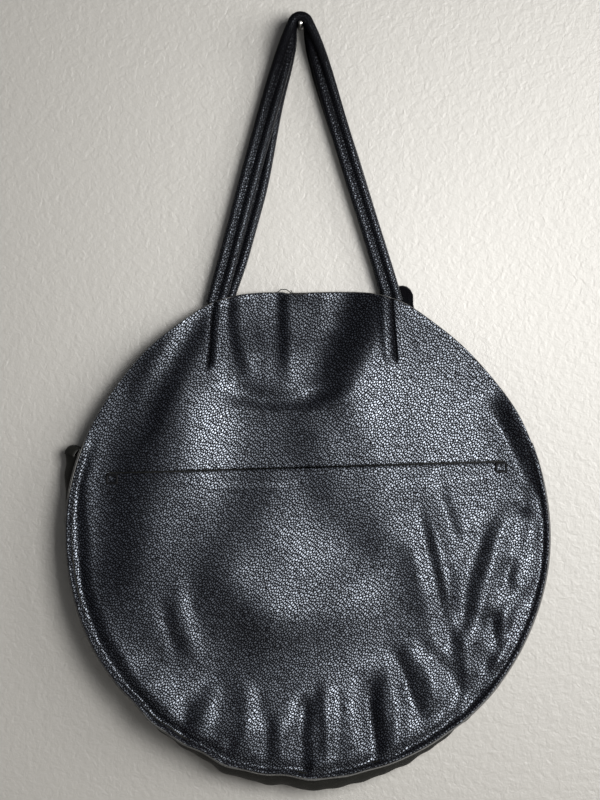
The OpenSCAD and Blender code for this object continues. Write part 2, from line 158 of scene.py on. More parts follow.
def new_object(name, data):
    """An object with that data, linked to the scene, at the origin."""
    obj = bpy.data.objects.new(name, data)
    bpy.context.scene.collection.objects.link(obj)
    return obj


# Camera: straight on, rolled with the photograph
CAMERA_AT = (-0.0047, -2.42, -0.3148)
CAMERA_ROLL = math.radians(-0.78)
PIXELS_HIGH = 800
MM_PER_PIXEL = 0.8306
CAMERA_REACH = 2400.0
camera = new_object("camera", bpy.data.cameras.new("camera"))
camera.data.sensor_width = 36
camera.data.lens = CAMERA_REACH / MM_PER_PIXEL * camera.data.sensor_width / PIXELS_HIGH
camera.data.clip_start, camera.data.clip_end = 0.05, 20
roll_cos, roll_sin = math.cos(CAMERA_ROLL), math.sin(CAMERA_ROLL)
camera.matrix_world = Matrix((
    (roll_cos, -roll_sin, 0, CAMERA_AT[0]),
    (0, 0, -1, CAMERA_AT[1]),
    (roll_sin, roll_cos, 0, CAMERA_AT[2]),
    (0, 0, 0, 1),
))
bpy.context.scene.camera = camera


# Shader expressions
class Value:
    """A socket that carries a number: +, -, *, / and the methods below add Math nodes."""

    def __init__(self, shader, socket):
        self.shader, self.socket = shader, socket

    def _math(self, operation, *inputs, clamp=False):
        settings = {"operation": operation, "use_clamp": clamp}
        node = self.shader.add("ShaderNodeMath", settings, dict(enumerate(inputs)))
        return Value(self.shader, node.outputs[0])

    def __add__(self, other):
        return self._math("ADD", self, other)

    def __radd__(self, other):
        return self._math("ADD", other, self)

    def __sub__(self, other):
        return self._math("SUBTRACT", self, other)

    def __rsub__(self, other):
        return self._math("SUBTRACT", other, self)

    def __mul__(self, other):
        return self._math("MULTIPLY", self, other)

    def __rmul__(self, other):
        return self._math("MULTIPLY", other, self)

    def __truediv__(self, other):
        return self._math("DIVIDE", self, other)

    def __rtruediv__(self, other):
        return self._math("DIVIDE", other, self)

    def __pow__(self, other):
        return self._math("POWER", self, other)

    def clamped(self):
        return self._math("ADD", self, 0.0, clamp=True)

    def exponent(self):
        return self._math("EXPONENT", self)

    def sine(self):
        return self._math("SINE", self)

    def absolute(self):
        return self._math("ABSOLUTE", self)

    def ramp(self, low, high, at_low=0.0, at_high=1.0):
        """at_low below low, at_high above high, and a smooth step between."""
        node = self.shader.add(
            "ShaderNodeMapRange", {"interpolation_type": "SMOOTHSTEP"},
            {"Value": self, "From Min": low, "From Max": high, "To Min": at_low, "To Max": at_high})
        return Value(self.shader, node.outputs["Result"])


class Shader:
    """One material, built by expressions and by add()."""

    def __init__(self, name):
        self.material = bpy.data.materials.new(name)
        self.material.use_nodes = True
        self.nodes = self.material.node_tree.nodes
        self.links = self.material.node_tree.links
        self.nodes.clear()
        self.surface = self.add("ShaderNodeBsdfPrincipled")
        self.output = self.add("ShaderNodeOutputMaterial", inputs={"Surface": self.surface.outputs[0]})

    def fill(self, socket, value):
        """Gives a socket its value or its link."""
        if isinstance(value, Value):
            value = value.socket
        if isinstance(value, bpy.types.NodeSocket):
            self.links.new(value, socket)
        else:
            socket.default_value = value

    def add(self, kind, settings=None, inputs=None):
        """A node of that type with its settings, then the values or links of its sockets."""
        node = self.nodes.new(kind)
        for key, value in (settings or {}).items():
            setattr(node, key, value)
        for key, value in (inputs or {}).items():
            self.fill(node.inputs[key], value)
        return node

    def set(self, **sockets):
        """Values or links of the Principled shader: base_color for Base Color, and so on."""
        for key, value in sockets.items():
            name = key.replace("_", " ").title().replace("Ior", "IOR")
            self.fill(self.surface.inputs[name], value)

    def over(self, share, **sockets):
        """Puts a second Principled shader below the first one; share is how much of the first one shows."""
        top = self.surface
        self.surface = self.add("ShaderNodeBsdfPrincipled")
        self.set(**sockets)
        layers = {0: share, 1: self.surface.outputs[0], 2: top.outputs[0]}
        mixed = self.add("ShaderNodeMixShader", inputs=layers)
        self.links.new(mixed.outputs[0], self.output.inputs["Surface"])
        self.surface = top

    def place(self, attribute="surface"):
        """The vector of a piece's own point attribute, in metres over its flattened surface."""
        return self.add("ShaderNodeAttribute", {"attribute_name": attribute}).outputs["Vector"]

    def amount(self, attribute):
        """The number of a piece's own point attribute."""
        return Value(self, self.add("ShaderNodeAttribute", {"attribute_name": attribute}).outputs["Fac"])

    def parts(self, place):
        """The three numbers of a place."""
        split = self.add("ShaderNodeSeparateXYZ", inputs={0: place})
        return [Value(self, output) for output in split.outputs]

    def object_place(self):
        return self.add("ShaderNodeTexCoord").outputs["Object"]

    def scaled(self, place, scale, shift=(0, 0, 0)):
        """The place times scale, which is one number a side, moved by shift."""
        node = self.add("ShaderNodeMapping", inputs={"Vector": place, "Scale": scale, "Location": shift})
        return node.outputs["Vector"]

    def stretched(self, place, degrees, along, across):
        """The place with everything stretched along a direction and pressed together across it."""
        node = self.add("ShaderNodeMapping", {"vector_type": "TEXTURE"}, {
            "Vector": place, "Rotation": (0, 0, math.radians(degrees)), "Scale": (along, across, 1)})
        return node.outputs["Vector"]

    def noise(self, place, scale, detail=2.0, roughness=0.5, distortion=0.0):
        node = self.add("ShaderNodeTexNoise", inputs={
            "Vector": place, "Scale": scale, "Detail": detail, "Roughness": roughness,
            "Distortion": distortion})
        return Value(self, node.outputs[0])

    def noise_vector(self, place, scale, detail=1.0):
        node = self.add("ShaderNodeTexNoise", inputs={"Vector": place, "Scale": scale, "Detail": detail})
        return node.outputs["Color"]

    def cells(self, place, scale, feature="F1", dimensions="2D", randomness=1.0, output="Distance"):
        node = self.add(
            "ShaderNodeTexVoronoi", {"voronoi_dimensions": dimensions, "feature": feature},
            {"Vector": place, "Scale": scale, "Randomness": randomness})
        return Value(self, node.outputs[output])

    def shifted(self, place, by, amount):
        """The place moved by a colour centred on half, times amount in metres."""
        centred = self.add("ShaderNodeVectorMath", {"operation": "SUBTRACT"}, {0: by, 1: (0.5, 0.5, 0.5)})
        node = self.add("ShaderNodeVectorMath", {"operation": "MULTIPLY_ADD"},
                        {0: centred.outputs[0], 1: (amount, amount, 0), 2: place})
        return node.outputs[0]

    def mix(self, share, first, second):
        """Colour between first, where share is 0, and second, where it is 1. Both are RGB."""
        inputs = {0: share, 6: (*first, 1), 7: (*second, 1)}
        return self.add("ShaderNodeMix", {"data_type": "RGBA"}, inputs).outputs[2]

    def bump(self, height, distance, strength=1.0, normal=None):
        inputs = {"Height": height, "Distance": distance, "Strength": strength}
        if normal is not None:
            inputs["Normal"] = normal
        return self.add("ShaderNodeBump", inputs=inputs).outputs["Normal"]


# Pebbles: the direction they are stretched along in degrees, how uneven their places are, how far their
# edges wander, as a share of a pebble, how many finer grains each has across, and patches of tone per metre
PEBBLE_TURN = 48
PEBBLE_DISORDER = 0.9
PEBBLE_WANDER_SHARE = 0.6
GRAINS_PER_PEBBLE = 2.6
PATCHES_PER_M = 22.0
# Colour of the creases between pebbles: the grain's own creases, painted near black as painted shade
CREASE_SHADE_COLOUR = (0.001, 0.001, 0.0018, 1)
BLUE_SHINE = (0.79, 0.87, 1.0, 1)


def pebbled_leather(name, cell=0.0021, depth=0.00015, top=(0.012, 0.014, 0.021), shine=1.0,
                    stretch=1.32, gap=(0.12, 0.42)):
    """Pebbled leather: rounded shiny cells over matt creases, a finer grain on the cells, and soft uneven
    patches.
    The creases take a near-black colour, which is painted shade. The cells are stretched along PEBBLE_TURN
    degrees.
    Where the piece's attribute of painted shade rises to 1, the leather is painted as dark as its creases:
    painted shade."""
    s = Shader(name)
    place = s.stretched(s.place(), PEBBLE_TURN, stretch, 1 / stretch)
    bent = s.shifted(place, s.noise_vector(place, 160.0, 2.0), cell * PEBBLE_WANDER_SHARE)
    edge = s.cells(bent, 1 / cell, "DISTANCE_TO_EDGE", randomness=PEBBLE_DISORDER)
    pebble = edge.ramp(*gap)
    hue = s.cells(bent, 1 / cell, "F1", randomness=PEBBLE_DISORDER, output="Color")
    tone = Value(s, s.add("ShaderNodeSeparateColor", inputs={0: hue.socket}).outputs[0])
    moved = s.scaled(place, (1, 1, 1), (0.31, 0.17, 0))
    fine = s.cells(moved, GRAINS_PER_PEBBLE / cell, "DISTANCE_TO_EDGE").ramp(0.0, 0.3)
    patch = s.noise(place, PATCHES_PER_M, 3.0)
    bumpy = s.bump(edge.ramp(0.0, 0.22) * (0.8 + 0.3 * tone) + 0.04 * fine, depth)
    low = tuple(c * 0.55 for c in top)
    s.set(
        base_color=s.mix((0.3 * tone + 0.7 * patch).ramp(0.25, 0.75), low, top),
        roughness=(0.38 + 0.10 * (patch - 0.5) + 0.08 * tone).clamped(),
        normal=bumpy, specular_tint=BLUE_SHINE, specular_ior_level=shine, ior=1.82)
    # Painted shade: the creases between pebbles, and the places where the piece's attribute of painted
    # shade rises, take the near-black colour of the creases
    s.over(pebble * (1 - s.amount("painted_shade")), base_color=CREASE_SHADE_COLOUR, roughness=0.7,
           normal=bumpy, specular_ior_level=0.05)
    return s.material


def smooth_leather(name, base, high, roughness):
    """Smooth split leather: faint wrinkles, a fine grain and rubbed high spots."""
    s = Shader(name)
    place = s.place()
    wrinkle = s.noise(s.scaled(place, (1, 2.6, 1)), 60.0, 5.0, 0.6, 0.4)
    grain = s.cells(place, 1500.0, "DISTANCE_TO_EDGE").ramp(0.0, 0.35)
    s.set(
        base_color=s.mix(wrinkle.ramp(0.35, 0.7), base, high),
        roughness=(roughness + 0.18 * (wrinkle - 0.5)).clamped(),
        normal=s.bump(wrinkle * 0.8 + grain * 0.12, 0.0006),
        ior=1.5, specular_ior_level=0.16)
    return s.material


def raw_edge(name, colour):
    """Cut edge of the leather: a little paler and fibrous."""
    s = Shader(name)
    fibres = s.noise(s.object_place(), 900.0, 3.0, 0.7)
    dark = tuple(c * 0.45 for c in colour)
    s.set(base_color=s.mix(fibres.ramp(0.3, 0.7), dark, colour),
          roughness=(0.42 + 0.2 * fibres).clamped(), normal=s.bump(fibres, 0.0003), specular_ior_level=0.6)
    return s.material


def woven_cloth(name, colour, pitch):
    """Plain weave: two crossed rows of threads, each over and under the other, pitch metres apart."""
    s = Shader(name)
    place = s.place()
    across, along = s.parts(place)[:2]
    threads = math.pi / pitch
    weave = (across * threads).sine().absolute() * (0.5 + 0.5 * (along * threads).sine())
    weave = weave + (along * threads).sine().absolute() * (0.5 - 0.5 * (across * threads).sine())
    slub = s.noise(s.scaled(place, (1, 0.2, 1)), 300.0, 2.0)
    shade = (weave * 0.4 + slub * 0.5).clamped()
    dark = tuple(c * 0.4 for c in colour)
    s.set(base_color=s.mix(shade, dark, colour), roughness=0.85,
          normal=s.bump(weave, 0.00015, 0.6), sheen_weight=0.3)
    return s.material


def twisted_cord(name, dark, pale):
    """Cotton filler cord: strands that wind round it."""
    s = Shader(name)
    run, around = s.parts(s.place())[:2]
    strand = ((run + around) * 1400.0).sine().absolute()
    fuzz = s.noise(s.place(), 1500.0, 3.0)
    s.set(base_color=s.mix((strand * 0.7 + fuzz * 0.3).clamped(), dark, pale),
          roughness=0.9, normal=s.bump(strand + fuzz * 0.3, 0.0004), sheen_weight=0.2)
    return s.material


def thread(name, colour):
    """Waxed sewing thread."""
    s = Shader(name)
    ply = s.noise(s.object_place(), 2500.0, 2.0)
    s.set(base_color=s.mix(ply, tuple(c * 0.5 for c in colour), colour), roughness=0.6,
          specular_ior_level=0.1, normal=s.bump(ply, 0.0001))
    return s.material


def plated_metal(name, colour, roughness):
    """Nickel plate: faint brushing and small dull spots."""
    s = Shader(name)
    place = s.object_place()
    brush = s.noise(s.scaled(place, (1, 1, 14)), 420.0, 3.0)
    spots = s.noise(place, 240.0, 2.0).ramp(0.58, 0.72)
    s.set(base_color=s.mix(spots * 0.4, colour, tuple(c * 0.7 for c in colour)), metallic=1.0,
          roughness=(roughness + 0.12 * brush + 0.2 * spots).clamped(), normal=s.bump(brush, 0.00003))
    return s.material


def magnet_ferrite(name, dark, pale):
    """Pressed ferrite: dull dark grey with fine pores."""
    s = Shader(name)
    pores = s.noise(s.object_place(), 3000.0, 3.0)
    s.set(base_color=s.mix(pores, dark, pale), roughness=0.6, metallic=0.2,
          normal=s.bump(pores, 0.00008))
    return s.material


PEBBLED = pebbled_leather("pebbled_leather")
STRAP_LEATHER = pebbled_leather(
    "strap_leather", cell=0.0019, depth=0.00026, top=(0.004, 0.005, 0.008), shine=0.42, stretch=1.05,
    gap=(0.14, 0.34))
SMOOTH = smooth_leather("smooth_leather", (0.004, 0.0041, 0.0036), (0.009, 0.009, 0.0075), 0.62)
EDGE = raw_edge("raw_edge", (0.075, 0.074, 0.072))
CLOTH = woven_cloth("pocket_cloth", (0.03, 0.03, 0.034), 0.00055)
CORD = twisted_cord("filler_cord", (0.32, 0.29, 0.22), (0.62, 0.58, 0.5))
BLACK_THREAD = thread("black_thread", (0.005, 0.005, 0.006))
METAL = plated_metal("snap_metal", (0.62, 0.61, 0.58), 0.24)
FERRITE = magnet_ferrite("magnet", (0.02, 0.02, 0.022), (0.06, 0.06, 0.065))


# Meshes
def grid_faces(rows, cols, closed_cols, skip, first):
    """Quads of a grid of rows by cols points, numbered from first. skip marks quads that are left out."""
    i, j = np.meshgrid(np.arange(rows - 1), np.arange(cols if closed_cols else cols - 1), indexing="ij")
    here, below, right = i * cols, (i + 1) * cols, (j + 1) % cols
    quads = np.stack([here + j, here + right, below + right, below + j], -1) + first
    if skip is not None:
        return quads[~skip]
    return quads.reshape(-1, 4)


class Sheets:
    """Gathers grids of points in mm, with their surface places in metres, into one mesh."""

    def __init__(self):
        self.points, self.places, self.faces, self.count = [], [], [], 0

    def grid(self, points, places=None, flip=False, skip=None, closed_cols=False):
        """points is rows x cols x 3; the faces run so that rows x cols points out, or in with flip."""
        rows, cols = points.shape[:2]
        faces = grid_faces(rows, cols, closed_cols, skip, self.count)
        if flip:
            faces = faces[:, ::-1]
        if places is None:
            places = points[..., [0, 2, 1]] * MM
        if places.shape[-1] == 2:
            places = np.concatenate([places, np.zeros((*places.shape[:-1], 1))], -1)
        self.points.append(points.reshape(-1, 3))
        self.places.append(places.reshape(-1, 3))
        self.faces.append(faces)
        self.count += rows * cols
        return self

    def piece(self, name, materials):
        """The mesh object, at the origin."""
        points = np.concatenate(self.points) * MM
        places = np.concatenate(self.places)
        faces = np.concatenate(self.faces)
        used = np.unique(faces)
        number = np.full(len(points), -1)
        number[used] = np.arange(len(used))
        points, places, faces = points[used], places[used], number[faces]
        mesh = bpy.data.meshes.new(name)
        mesh.vertices.add(len(points))
        mesh.vertices.foreach_set("co", points.astype(np.float32).ravel())
        mesh.loops.add(faces.size)
        mesh.loops.foreach_set("vertex_index", faces.astype(np.int32).ravel())
        mesh.polygons.add(len(faces))
        mesh.polygons.foreach_set("loop_start", np.arange(0, faces.size, 4, dtype=np.int32))
        mesh.polygons.foreach_set("use_smooth", np.full(len(faces), True))
        attribute = mesh.attributes.new("surface", "FLOAT_VECTOR", "POINT")
        attribute.data.foreach_set("vector", places.astype(np.float32).ravel())
        mesh.update(calc_edges=True)
        mesh.validate()
        for material in materials:
            mesh.materials.append(material)
        return new_object(name, mesh)


def set_amount(obj, name, amount_of):
    """Gives a piece a number at each point: amount_of(x, y, z) of the point's place in mm."""
    places = np.zeros(len(obj.data.vertices) * 3)
    obj.data.vertices.foreach_get("co", places)
    x, y, z = places.reshape(-1, 3).T / MM
    values = obj.data.attributes.new(name, "FLOAT", "POINT")
    values.data.foreach_set("value", np.asarray(amount_of(x, y, z), np.float32))


def thicken(obj, thick, rim_slot=0):
    """Gives a sheet its thickness, away from the side that its faces show."""
    wall = obj.modifiers.new("thickness", "SOLIDIFY")
    wall.thickness = thick * MM
    wall.offset = -1.0
    wall.material_offset_rim = rim_slot
    wall.use_quality_normals = True
    return obj


def spread(low, high, count, *crowds):
    """Numbers from low to high, closer together near each crowd (place, width, gain):
    equal steps of the integral of 1 + gain * exp(-((x - place) / width)^2)."""
    x = np.linspace(low, high, 6001)
    density = 1 + sum(gain * hump((x - place) / width) for place, width, gain in crowds)
    total = np.concatenate([[0], np.cumsum((density[1:] + density[:-1]) / 2)])
    return np.interp(np.linspace(0, total[-1], count), total, x)


def tube(path, radius_a, radius_b, side_a, side_b, sides=8, turn=0.0):
    """An oval profile carried along a path: path + radius_a cos t side_a + radius_b sin t side_b, for t
    round the profile. path, side_a and side_b are n x 3, in mm."""
    t = np.radians(np.arange(sides) * 360 / sides + turn)
    radius_a = np.reshape(np.broadcast_to(radius_a, len(path)), (-1, 1, 1))
    radius_b = np.reshape(np.broadcast_to(radius_b, len(path)), (-1, 1, 1))
    return (path[:, None] + radius_a * np.cos(t)[None, :, None] * side_a[:, None]
            + radius_b * np.sin(t)[None, :, None] * side_b[:, None])


def length_along(path):
    """Distance along a path of n x 3 points, from its first one."""
    return np.concatenate([[0], np.cumsum(np.linalg.norm(np.diff(path, axis=0), axis=1))])


def stitch_row(name, rows, length, gap, thick):
    """Stitches along paths: short capsules of thread, sunk halfway into the leather, each from one hole to
    the next. rows are pairs of points and normals, n x 3 each, in mm."""
    sheets = Sheets()
    for points, normals in rows:
        run = length_along(points)
        for start in np.arange(0.5 * gap, run[-1] - length, length + gap):
            at = start + np.linspace(0, length, 5)
            path = np.stack([np.interp(at, run, points[:, k]) for k in range(3)], -1)
            up = np.stack([np.interp(at, run, normals[:, k]) for k in range(3)], -1)
            up /= np.linalg.norm(up, axis=1)[:, None]
            lift = thick * 0.45 * np.sin(np.linspace(0.0, np.pi, 5))
            along = path[-1] - path[0]
            along /= np.linalg.norm(along)
            side = np.cross(np.broadcast_to(along, up.shape), up)
            slim = thick / 2 * np.array([0.35, 0.9, 1.0, 0.9, 0.35])
            sheets.grid(tube(path + up * lift[:, None], slim, slim, side, up, 6), closed_cols=True)
    return sheets.piece(name, [BLACK_THREAD])


# The front panel
ROW_COUNT, COL_COUNT = 214, 214


def lean(h):
    """Depth of the seam plane: from the rim's depth at the top to the bottom seam's depth."""
    return RIM_DEPTH + (BOTTOM_DEPTH - RIM_DEPTH) * np.maximum(0, (ROOT_RIM_H - h) / (ROOT_RIM_H + PANEL_R))


# Pleats: from which radius they grow and over how much of it, and where they fade at the seam, as shares
PLEAT_FROM, PLEAT_GROW = 0.55, 0.25
PLEAT_STOP, PLEAT_FADE = 0.975, 0.08


def pleats(x, h):
    """Gathers along the bottom seam, each a bell across the angle from the bottom, fading inwards."""
    r = np.hypot(x, h) / PANEL_R
    turn = np.degrees(np.arctan2(x, -h))
    reach = smooth((r - PLEAT_FROM) / PLEAT_GROW) * smooth((PLEAT_STOP - r) / PLEAT_FADE)
    width = 2 * math.degrees(math.atan(PLEAT_W / 4 / PANEL_R))
    total = sum(share * hump((turn - at) / width) for at, share in zip(PLEAT_TURNS, PLEAT_SHARES))
    return PLEAT_DEPTH * reach * total


# Depth of the closed snap at the rim, and the hollow below it: half width in mm and slope down its middle
SNAP_CLOSED = 12.3
HOLLOW_W = 52.0
HOLLOW_SLOPE = 0.28


def hung_depth(x, h):
    """Depth of the panel in front of the back face. Towards the snap its top is drawn in over a wide
    hollow, whose middle comes forward steadily from the closed snap's depth at the rim. The hollow falls
    off across as exp(-v^2)."""
    belly = BELLY_DEPTH * np.maximum(0, 1 - (x * x + h * h) / PANEL_R ** 2)
    full = lean(h) + belly - pleats(x, h)
    hollow = SNAP_CLOSED + HOLLOW_SLOPE * np.maximum(0, PANEL_R - h)
    return full - np.maximum(0, full - hollow) * hump(x / HOLLOW_W)


# Middle of the panel in the photograph, in its pixels, and how far the panel is turned there
PANEL_PIXEL_X, PANEL_PIXEL_Y = 306.5, 534.5
TILT = math.radians(1.3)
PANEL_MM_PER_PIXEL = 0.83


def panel_place(px, py):
    """x and h, in mm, of a point of the photograph given in its pixels."""
    dx, dy = PANEL_MM_PER_PIXEL * (px - PANEL_PIXEL_X), PANEL_MM_PER_PIXEL * (PANEL_PIXEL_Y - py)
    return dx * math.cos(TILT) + dy * math.sin(TILT), dy * math.cos(TILT) - dx * math.sin(TILT)


# Folds of the front: points along each in the photograph's pixels, half width in mm,
# depth in mm of a valley there (a ridge below 0), turn in mm of the leather to the right there (to the left
# below 0), and how far the fold fades at its two ends, as a share of its length.
FOLDS = (
    # broad slopes of the whole front
    (((90, 424), (300, 414), (530, 408)), 60, 0, -2.4, 0.1),
    (((166, 388), (150, 420), (132, 455), (124, 500), (122, 550), (112, 600)), 31, 0, -4.4, 0.3),
    (((216, 370), (214, 430), (212, 500)), 38, 0, 5.4, 0.5),
    (((303, 410), (304, 460), (322, 500), (362, 536), (398, 572), (406, 610), (406, 652)),
     28, 0, -2.5, 0.25),
    (((356, 524), (392, 566), (406, 610)), 32, 0, -2.4, 0.5),
    (((430, 330), (430, 400), (440, 450), (450, 500)), 54, 0, 3.4, 0.6),
    (((372, 410), (384, 450), (394, 505)), 22, 0, 1.6, 0.5),
    (((404, 540), (416, 580), (428, 625)), 16, 0, -1.8, 0.5),
    (((276, 480), (294, 520), (306, 570)), 28, 0, 1.6, 0.6),
    (((236, 552), (290, 558), (346, 562)), 34, 0, -2.6, 0.5),
    (((120, 650), (176, 694), (240, 708), (316, 706)), 22, 0, 2.2, 0.4),
    (((204, 570), (234, 606), (262, 646)), 30, 0, -3.6, 0.5),
    (((190, 630), (270, 634), (340, 630), (416, 614)), 44, 0, -5.2, 0.4),
    # the drawn-in top: a dark hollow either side of the snap, with a curved lower edge and upright creases
    (((228, 290), (230, 330), (240, 372)), 9, 0, -2.6, 0.5),
    (((367, 286), (356, 330), (339, 366), (322, 400)), 23, 0, -7.8, 0.4),
    (((240, 346), (300, 350), (352, 340)), 28, 0, 2.0, 0.5),
    (((279, 284), (279, 318), (281, 366)), 8, 0.8, -3.0, 0.6),
    (((300, 300), (302, 330)), 7, -0.4, 0.4, 0.6),
    (((322, 296), (322, 330)), 7, -0.5, 0.2, 0.6),
    (((226, 400), (264, 409), (304, 408), (344, 390)), 9, 0.6, 2.1, 0.35),
    # the pocket's hem shows through below the slit
    (((136, 486), (200, 487), (300, 486)), 3.4, 0, -0.45, 0.3),
    (((392, 484), (440, 482), (486, 477)), 3.4, 0, -0.3, 0.3),
    # diagonal folds that run down from the left strap
    (((206, 318), (188, 350), (163, 400), (146, 440)), 10, 0.7, -1.4, 0.4),
    (((184, 318), (152, 372), (138, 402)), 9, -0.8, 0.8, 0.6),
    # channel inside the left edge and the ridge beside it
    (((79, 500), (84, 590), (104, 640), (136, 690), (176, 730), (215, 750)), 6.5, 2.2, -1.6, 0.25),
    (((184, 585), (188, 615), (200, 650)), 9, -0.6, 1.0, 0.6),
    # right side
    (((497, 402), (515, 438), (529, 468), (539, 498)), 13, 0.8, -7.0, 0.35),
    (((425, 528), (435, 571), (445, 610), (458, 655)), 8, 1.2, -2.4, 0.35),
    (((433, 505), (444, 548), (451, 580), (455, 604)), 8.5, -1.2, 1.6, 0.4),
    (((440, 484), (451, 518), (461, 545)), 8, 0.6, -1.2, 0.5),
    (((488, 526), (478, 558), (469, 588), (462, 634)), 10.5, 1.6, -2.4, 0.35),
    (((513, 508), (500, 542), (494, 570), (484, 606), (468, 652)), 9, -1.4, 1.2, 0.35),
    (((516, 492), (528, 508)), 7, 1.2, -2.0, 0.6),
    (((514, 562), (508, 576), (512, 588)), 6.5, 1.4, -1.6, 0.6),
    (((536, 520), (530, 548)), 8, -0.8, 1.0, 0.6),
    (((493, 610), (496, 636), (504, 648)), 7, 1.4, -2.2, 0.5),
    (((533, 590), (522, 612), (510, 640)), 7, 1.2, -1.8, 0.5),
    (((510, 604), (508, 634)), 6, -0.8, 1.2, 0.6),
    (((492, 648), (490, 672), (474, 706)), 10, 1.4, -3.4, 0.4),
    (((414, 640), (418, 660)), 8, -0.8, 1.0, 0.6),
    # pleats of the gathered bottom
    (((309, 700), (307, 735), (309, 778)), 8.0, 2.4, -3.8, 0.3),
    (((330, 690), (331, 730), (332, 772)), 8.0, -1.4, 2.2, 0.35),
    (((375, 680), (376, 722), (382, 764)), 8.0, 2.2, -3.2, 0.35),
    (((396, 664), (402, 705), (402, 752)), 9.0, -1.2, 2.4, 0.4),
    (((398, 655), (412, 690), (428, 722)), 7.5, 1.2, -1.6, 0.5),
    (((458, 660), (462, 690), (452, 722)), 7.5, 1.5, -1.8, 0.4),
    (((430, 656), (438, 684), (436, 706)), 9.0, -1.0, 1.8, 0.5),
    (((272, 716), (271, 745), (272, 768)), 5.5, 0.9, -0.9, 0.5),
    (((287, 722), (286, 745), (288, 764)), 6.0, -0.5, 1.2, 0.5),
    (((192, 696), (188, 725), (184, 748)), 8.0, 1.0, -0.9, 0.4),
    (((218, 684), (212, 715), (206, 745)), 9.5, -0.5, 1.2, 0.5),
    (((234, 738), (232, 756)), 5.0, 0.8, -0.6, 0.6),
    (((252, 690), (254, 722), (252, 752)), 9.0, -0.8, 1.6, 0.5),
    (((167, 606), (174, 632), (184, 654)), 7.0, 0.8, -1.0, 0.5),
)
# Where the strap ends are sewn in, a sharp groove with a soft ridge on its inner side
DARTS = (
    (((209.5, 301), (207.5, 330), (205, 371)), -1),
    (((388.5, 297), (391, 330), (394, 363)), 1),
)


def along_fold(x, h, points):
    """Distance across a polyline, positive to its right when it runs down, and the share of its length."""
    places = np.array([panel_place(*p) for p in points])
    steps = np.diff(places, axis=0)
    lengths = np.linalg.norm(steps, axis=1)
    before = np.concatenate([[0], np.cumsum(lengths)])
    best, side, share = np.full(x.shape, 1e9), np.zeros(x.shape), np.zeros(x.shape)
    for k, (start, step, size) in enumerate(zip(places, steps, lengths)):
        low = -np.inf if k == 0 else 0.0
        high = np.inf if k == len(steps) - 1 else size
        run = np.clip(((x - start[0]) * step[0] + (h - start[1]) * step[1]) / size, low, high)
        off_x, off_h = x - start[0] - run * step[0] / size, h - start[1] - run * step[1] / size
        away = np.hypot(off_x, off_h)
        cross = (off_x * -step[1] + off_h * step[0]) / size
        near = away < best
        best = np.where(near, away, best)
        side = np.where(near, np.sign(cross) * away, side)
        share = np.where(near, (before[k] + run) / before[-1], share)
    return side, share


TURN_GAIN = 1.65


def fold_depth(x, h):
    """Sum of the folds. Across its line, at s half widths, each is (depth + TURN_GAIN turn s) exp(-s^2)."""
    total = np.zeros(x.shape)
    for points, width, depth, turn, fade in FOLDS:
        side, share = along_fold(x, h, points)
        ends = smooth((share + fade / 2) / fade) * smooth((1 + fade / 2 - share) / fade)
        total += ends * (depth + TURN_GAIN * turn * side / width) * hump(side / width)
    return total


# Across a dart, in mm: depth of its groove and half widths inside and outside, then the ridge's place, half
# width and height
GROOVE_DEPTH, GROOVE_IN_W, GROOVE_OUT_W = 3.0, 2.0, 1.0
RIDGE_PLACE, RIDGE_W, RIDGE_H = 7.0, 4.0, 2.2


def dart_depth(x, h):
    """Each dart: a groove with a steep outer side, and a ridge beside it towards the middle of the bag."""
    total = np.zeros(x.shape)
    for points, outward in DARTS:
        side, share = along_fold(x, h, points)
        ends = smooth((share + 0.2) / 0.2) * smooth((1.03 - share) / 0.12)
        inner = -side * outward
        groove = hump(inner / np.where(inner > 0, GROOVE_IN_W, GROOVE_OUT_W)) * GROOVE_DEPTH
        ridge = hump((inner - RIDGE_PLACE) / RIDGE_W) * RIDGE_H
        total += ends * (groove - ridge)
    return total


# Painted shade on the slit's lips and on the sewn margin, as shares of the darkest painted shade, and how
# wide the margin is in mm
LIP_SHADE, MARGIN_SHADE = 0.8, 0.6
MARGIN_W = 5.0


def painted_shade_share(x, h):
    """Painted shade: 1 in the slots of the darts, less on the lips of the slit and on the sewn margin, and
    0 elsewhere.
    """
    lips = hump((np.abs(h - slit_h(x)) - 0.3) / 0.5) * smooth((SLIT_HALF + 2 - np.abs(x)) / 3)
    r, a = polar(x, h)
    margin = smooth((MARGIN_W - visual_rim(a) + r) / 2.0) * smooth((np.abs(a) - GUSSET_A + 4) / 6)
    dark = np.maximum(LIP_SHADE * lips, MARGIN_SHADE * margin)
    for points, outward in DARTS:
        side, share = along_fold(x, h, points)
        ends = smooth((share + 0.2) / 0.1) * smooth((1.03 - share) / 0.12)
        dark = np.maximum(dark, ends * hump((-side * outward - 0.2) / 1.3))
    return dark


# Slow waves that no panel of soft leather is without: radians per mm along x and h, phase, height in mm
DRAPE_WAVES = (
    (0.021, 0.013, 0.4, 0.55),
    (-0.034, 0.027, 1.9, 0.40),
    (0.052, 0.041, 4.0, 0.22),
    (0.017, -0.060, 2.2, 0.25),
)


def drape(x, h):
    """Sum of the slow waves, each height * sin(kx x + kh h + phase)."""
    return sum(size * np.sin(kx * x + kh * h + phase) for kx, kh, phase, size in DRAPE_WAVES)


def rim_wave(a):
    """How far the sewn edge wanders in and out, in mm: short waves along the gathered bottom."""
    turn = 180 - np.abs(a)
    across = np.sign(a) * turn
    gathered = smooth((70 - turn) / 40) * (1 - 0.8 * smooth((across - 2) / 16))
    waves = 1.1 * np.sin(across * 0.30 + 0.6) + 0.7 * np.sin(across * 0.62 + 2.0)
    return gathered * waves + 0.25 * np.sin(across * 0.17)


# How far the rim sinks outside the straps, in mm, and from which angle to which; then the same of its dip
# in front of the closure
SUNK, SUNK_FROM, SUNK_TO = 2.8, 22, 66
DIP, DIP_FROM, DIP_TO = 1.4, -4.8, 1.2


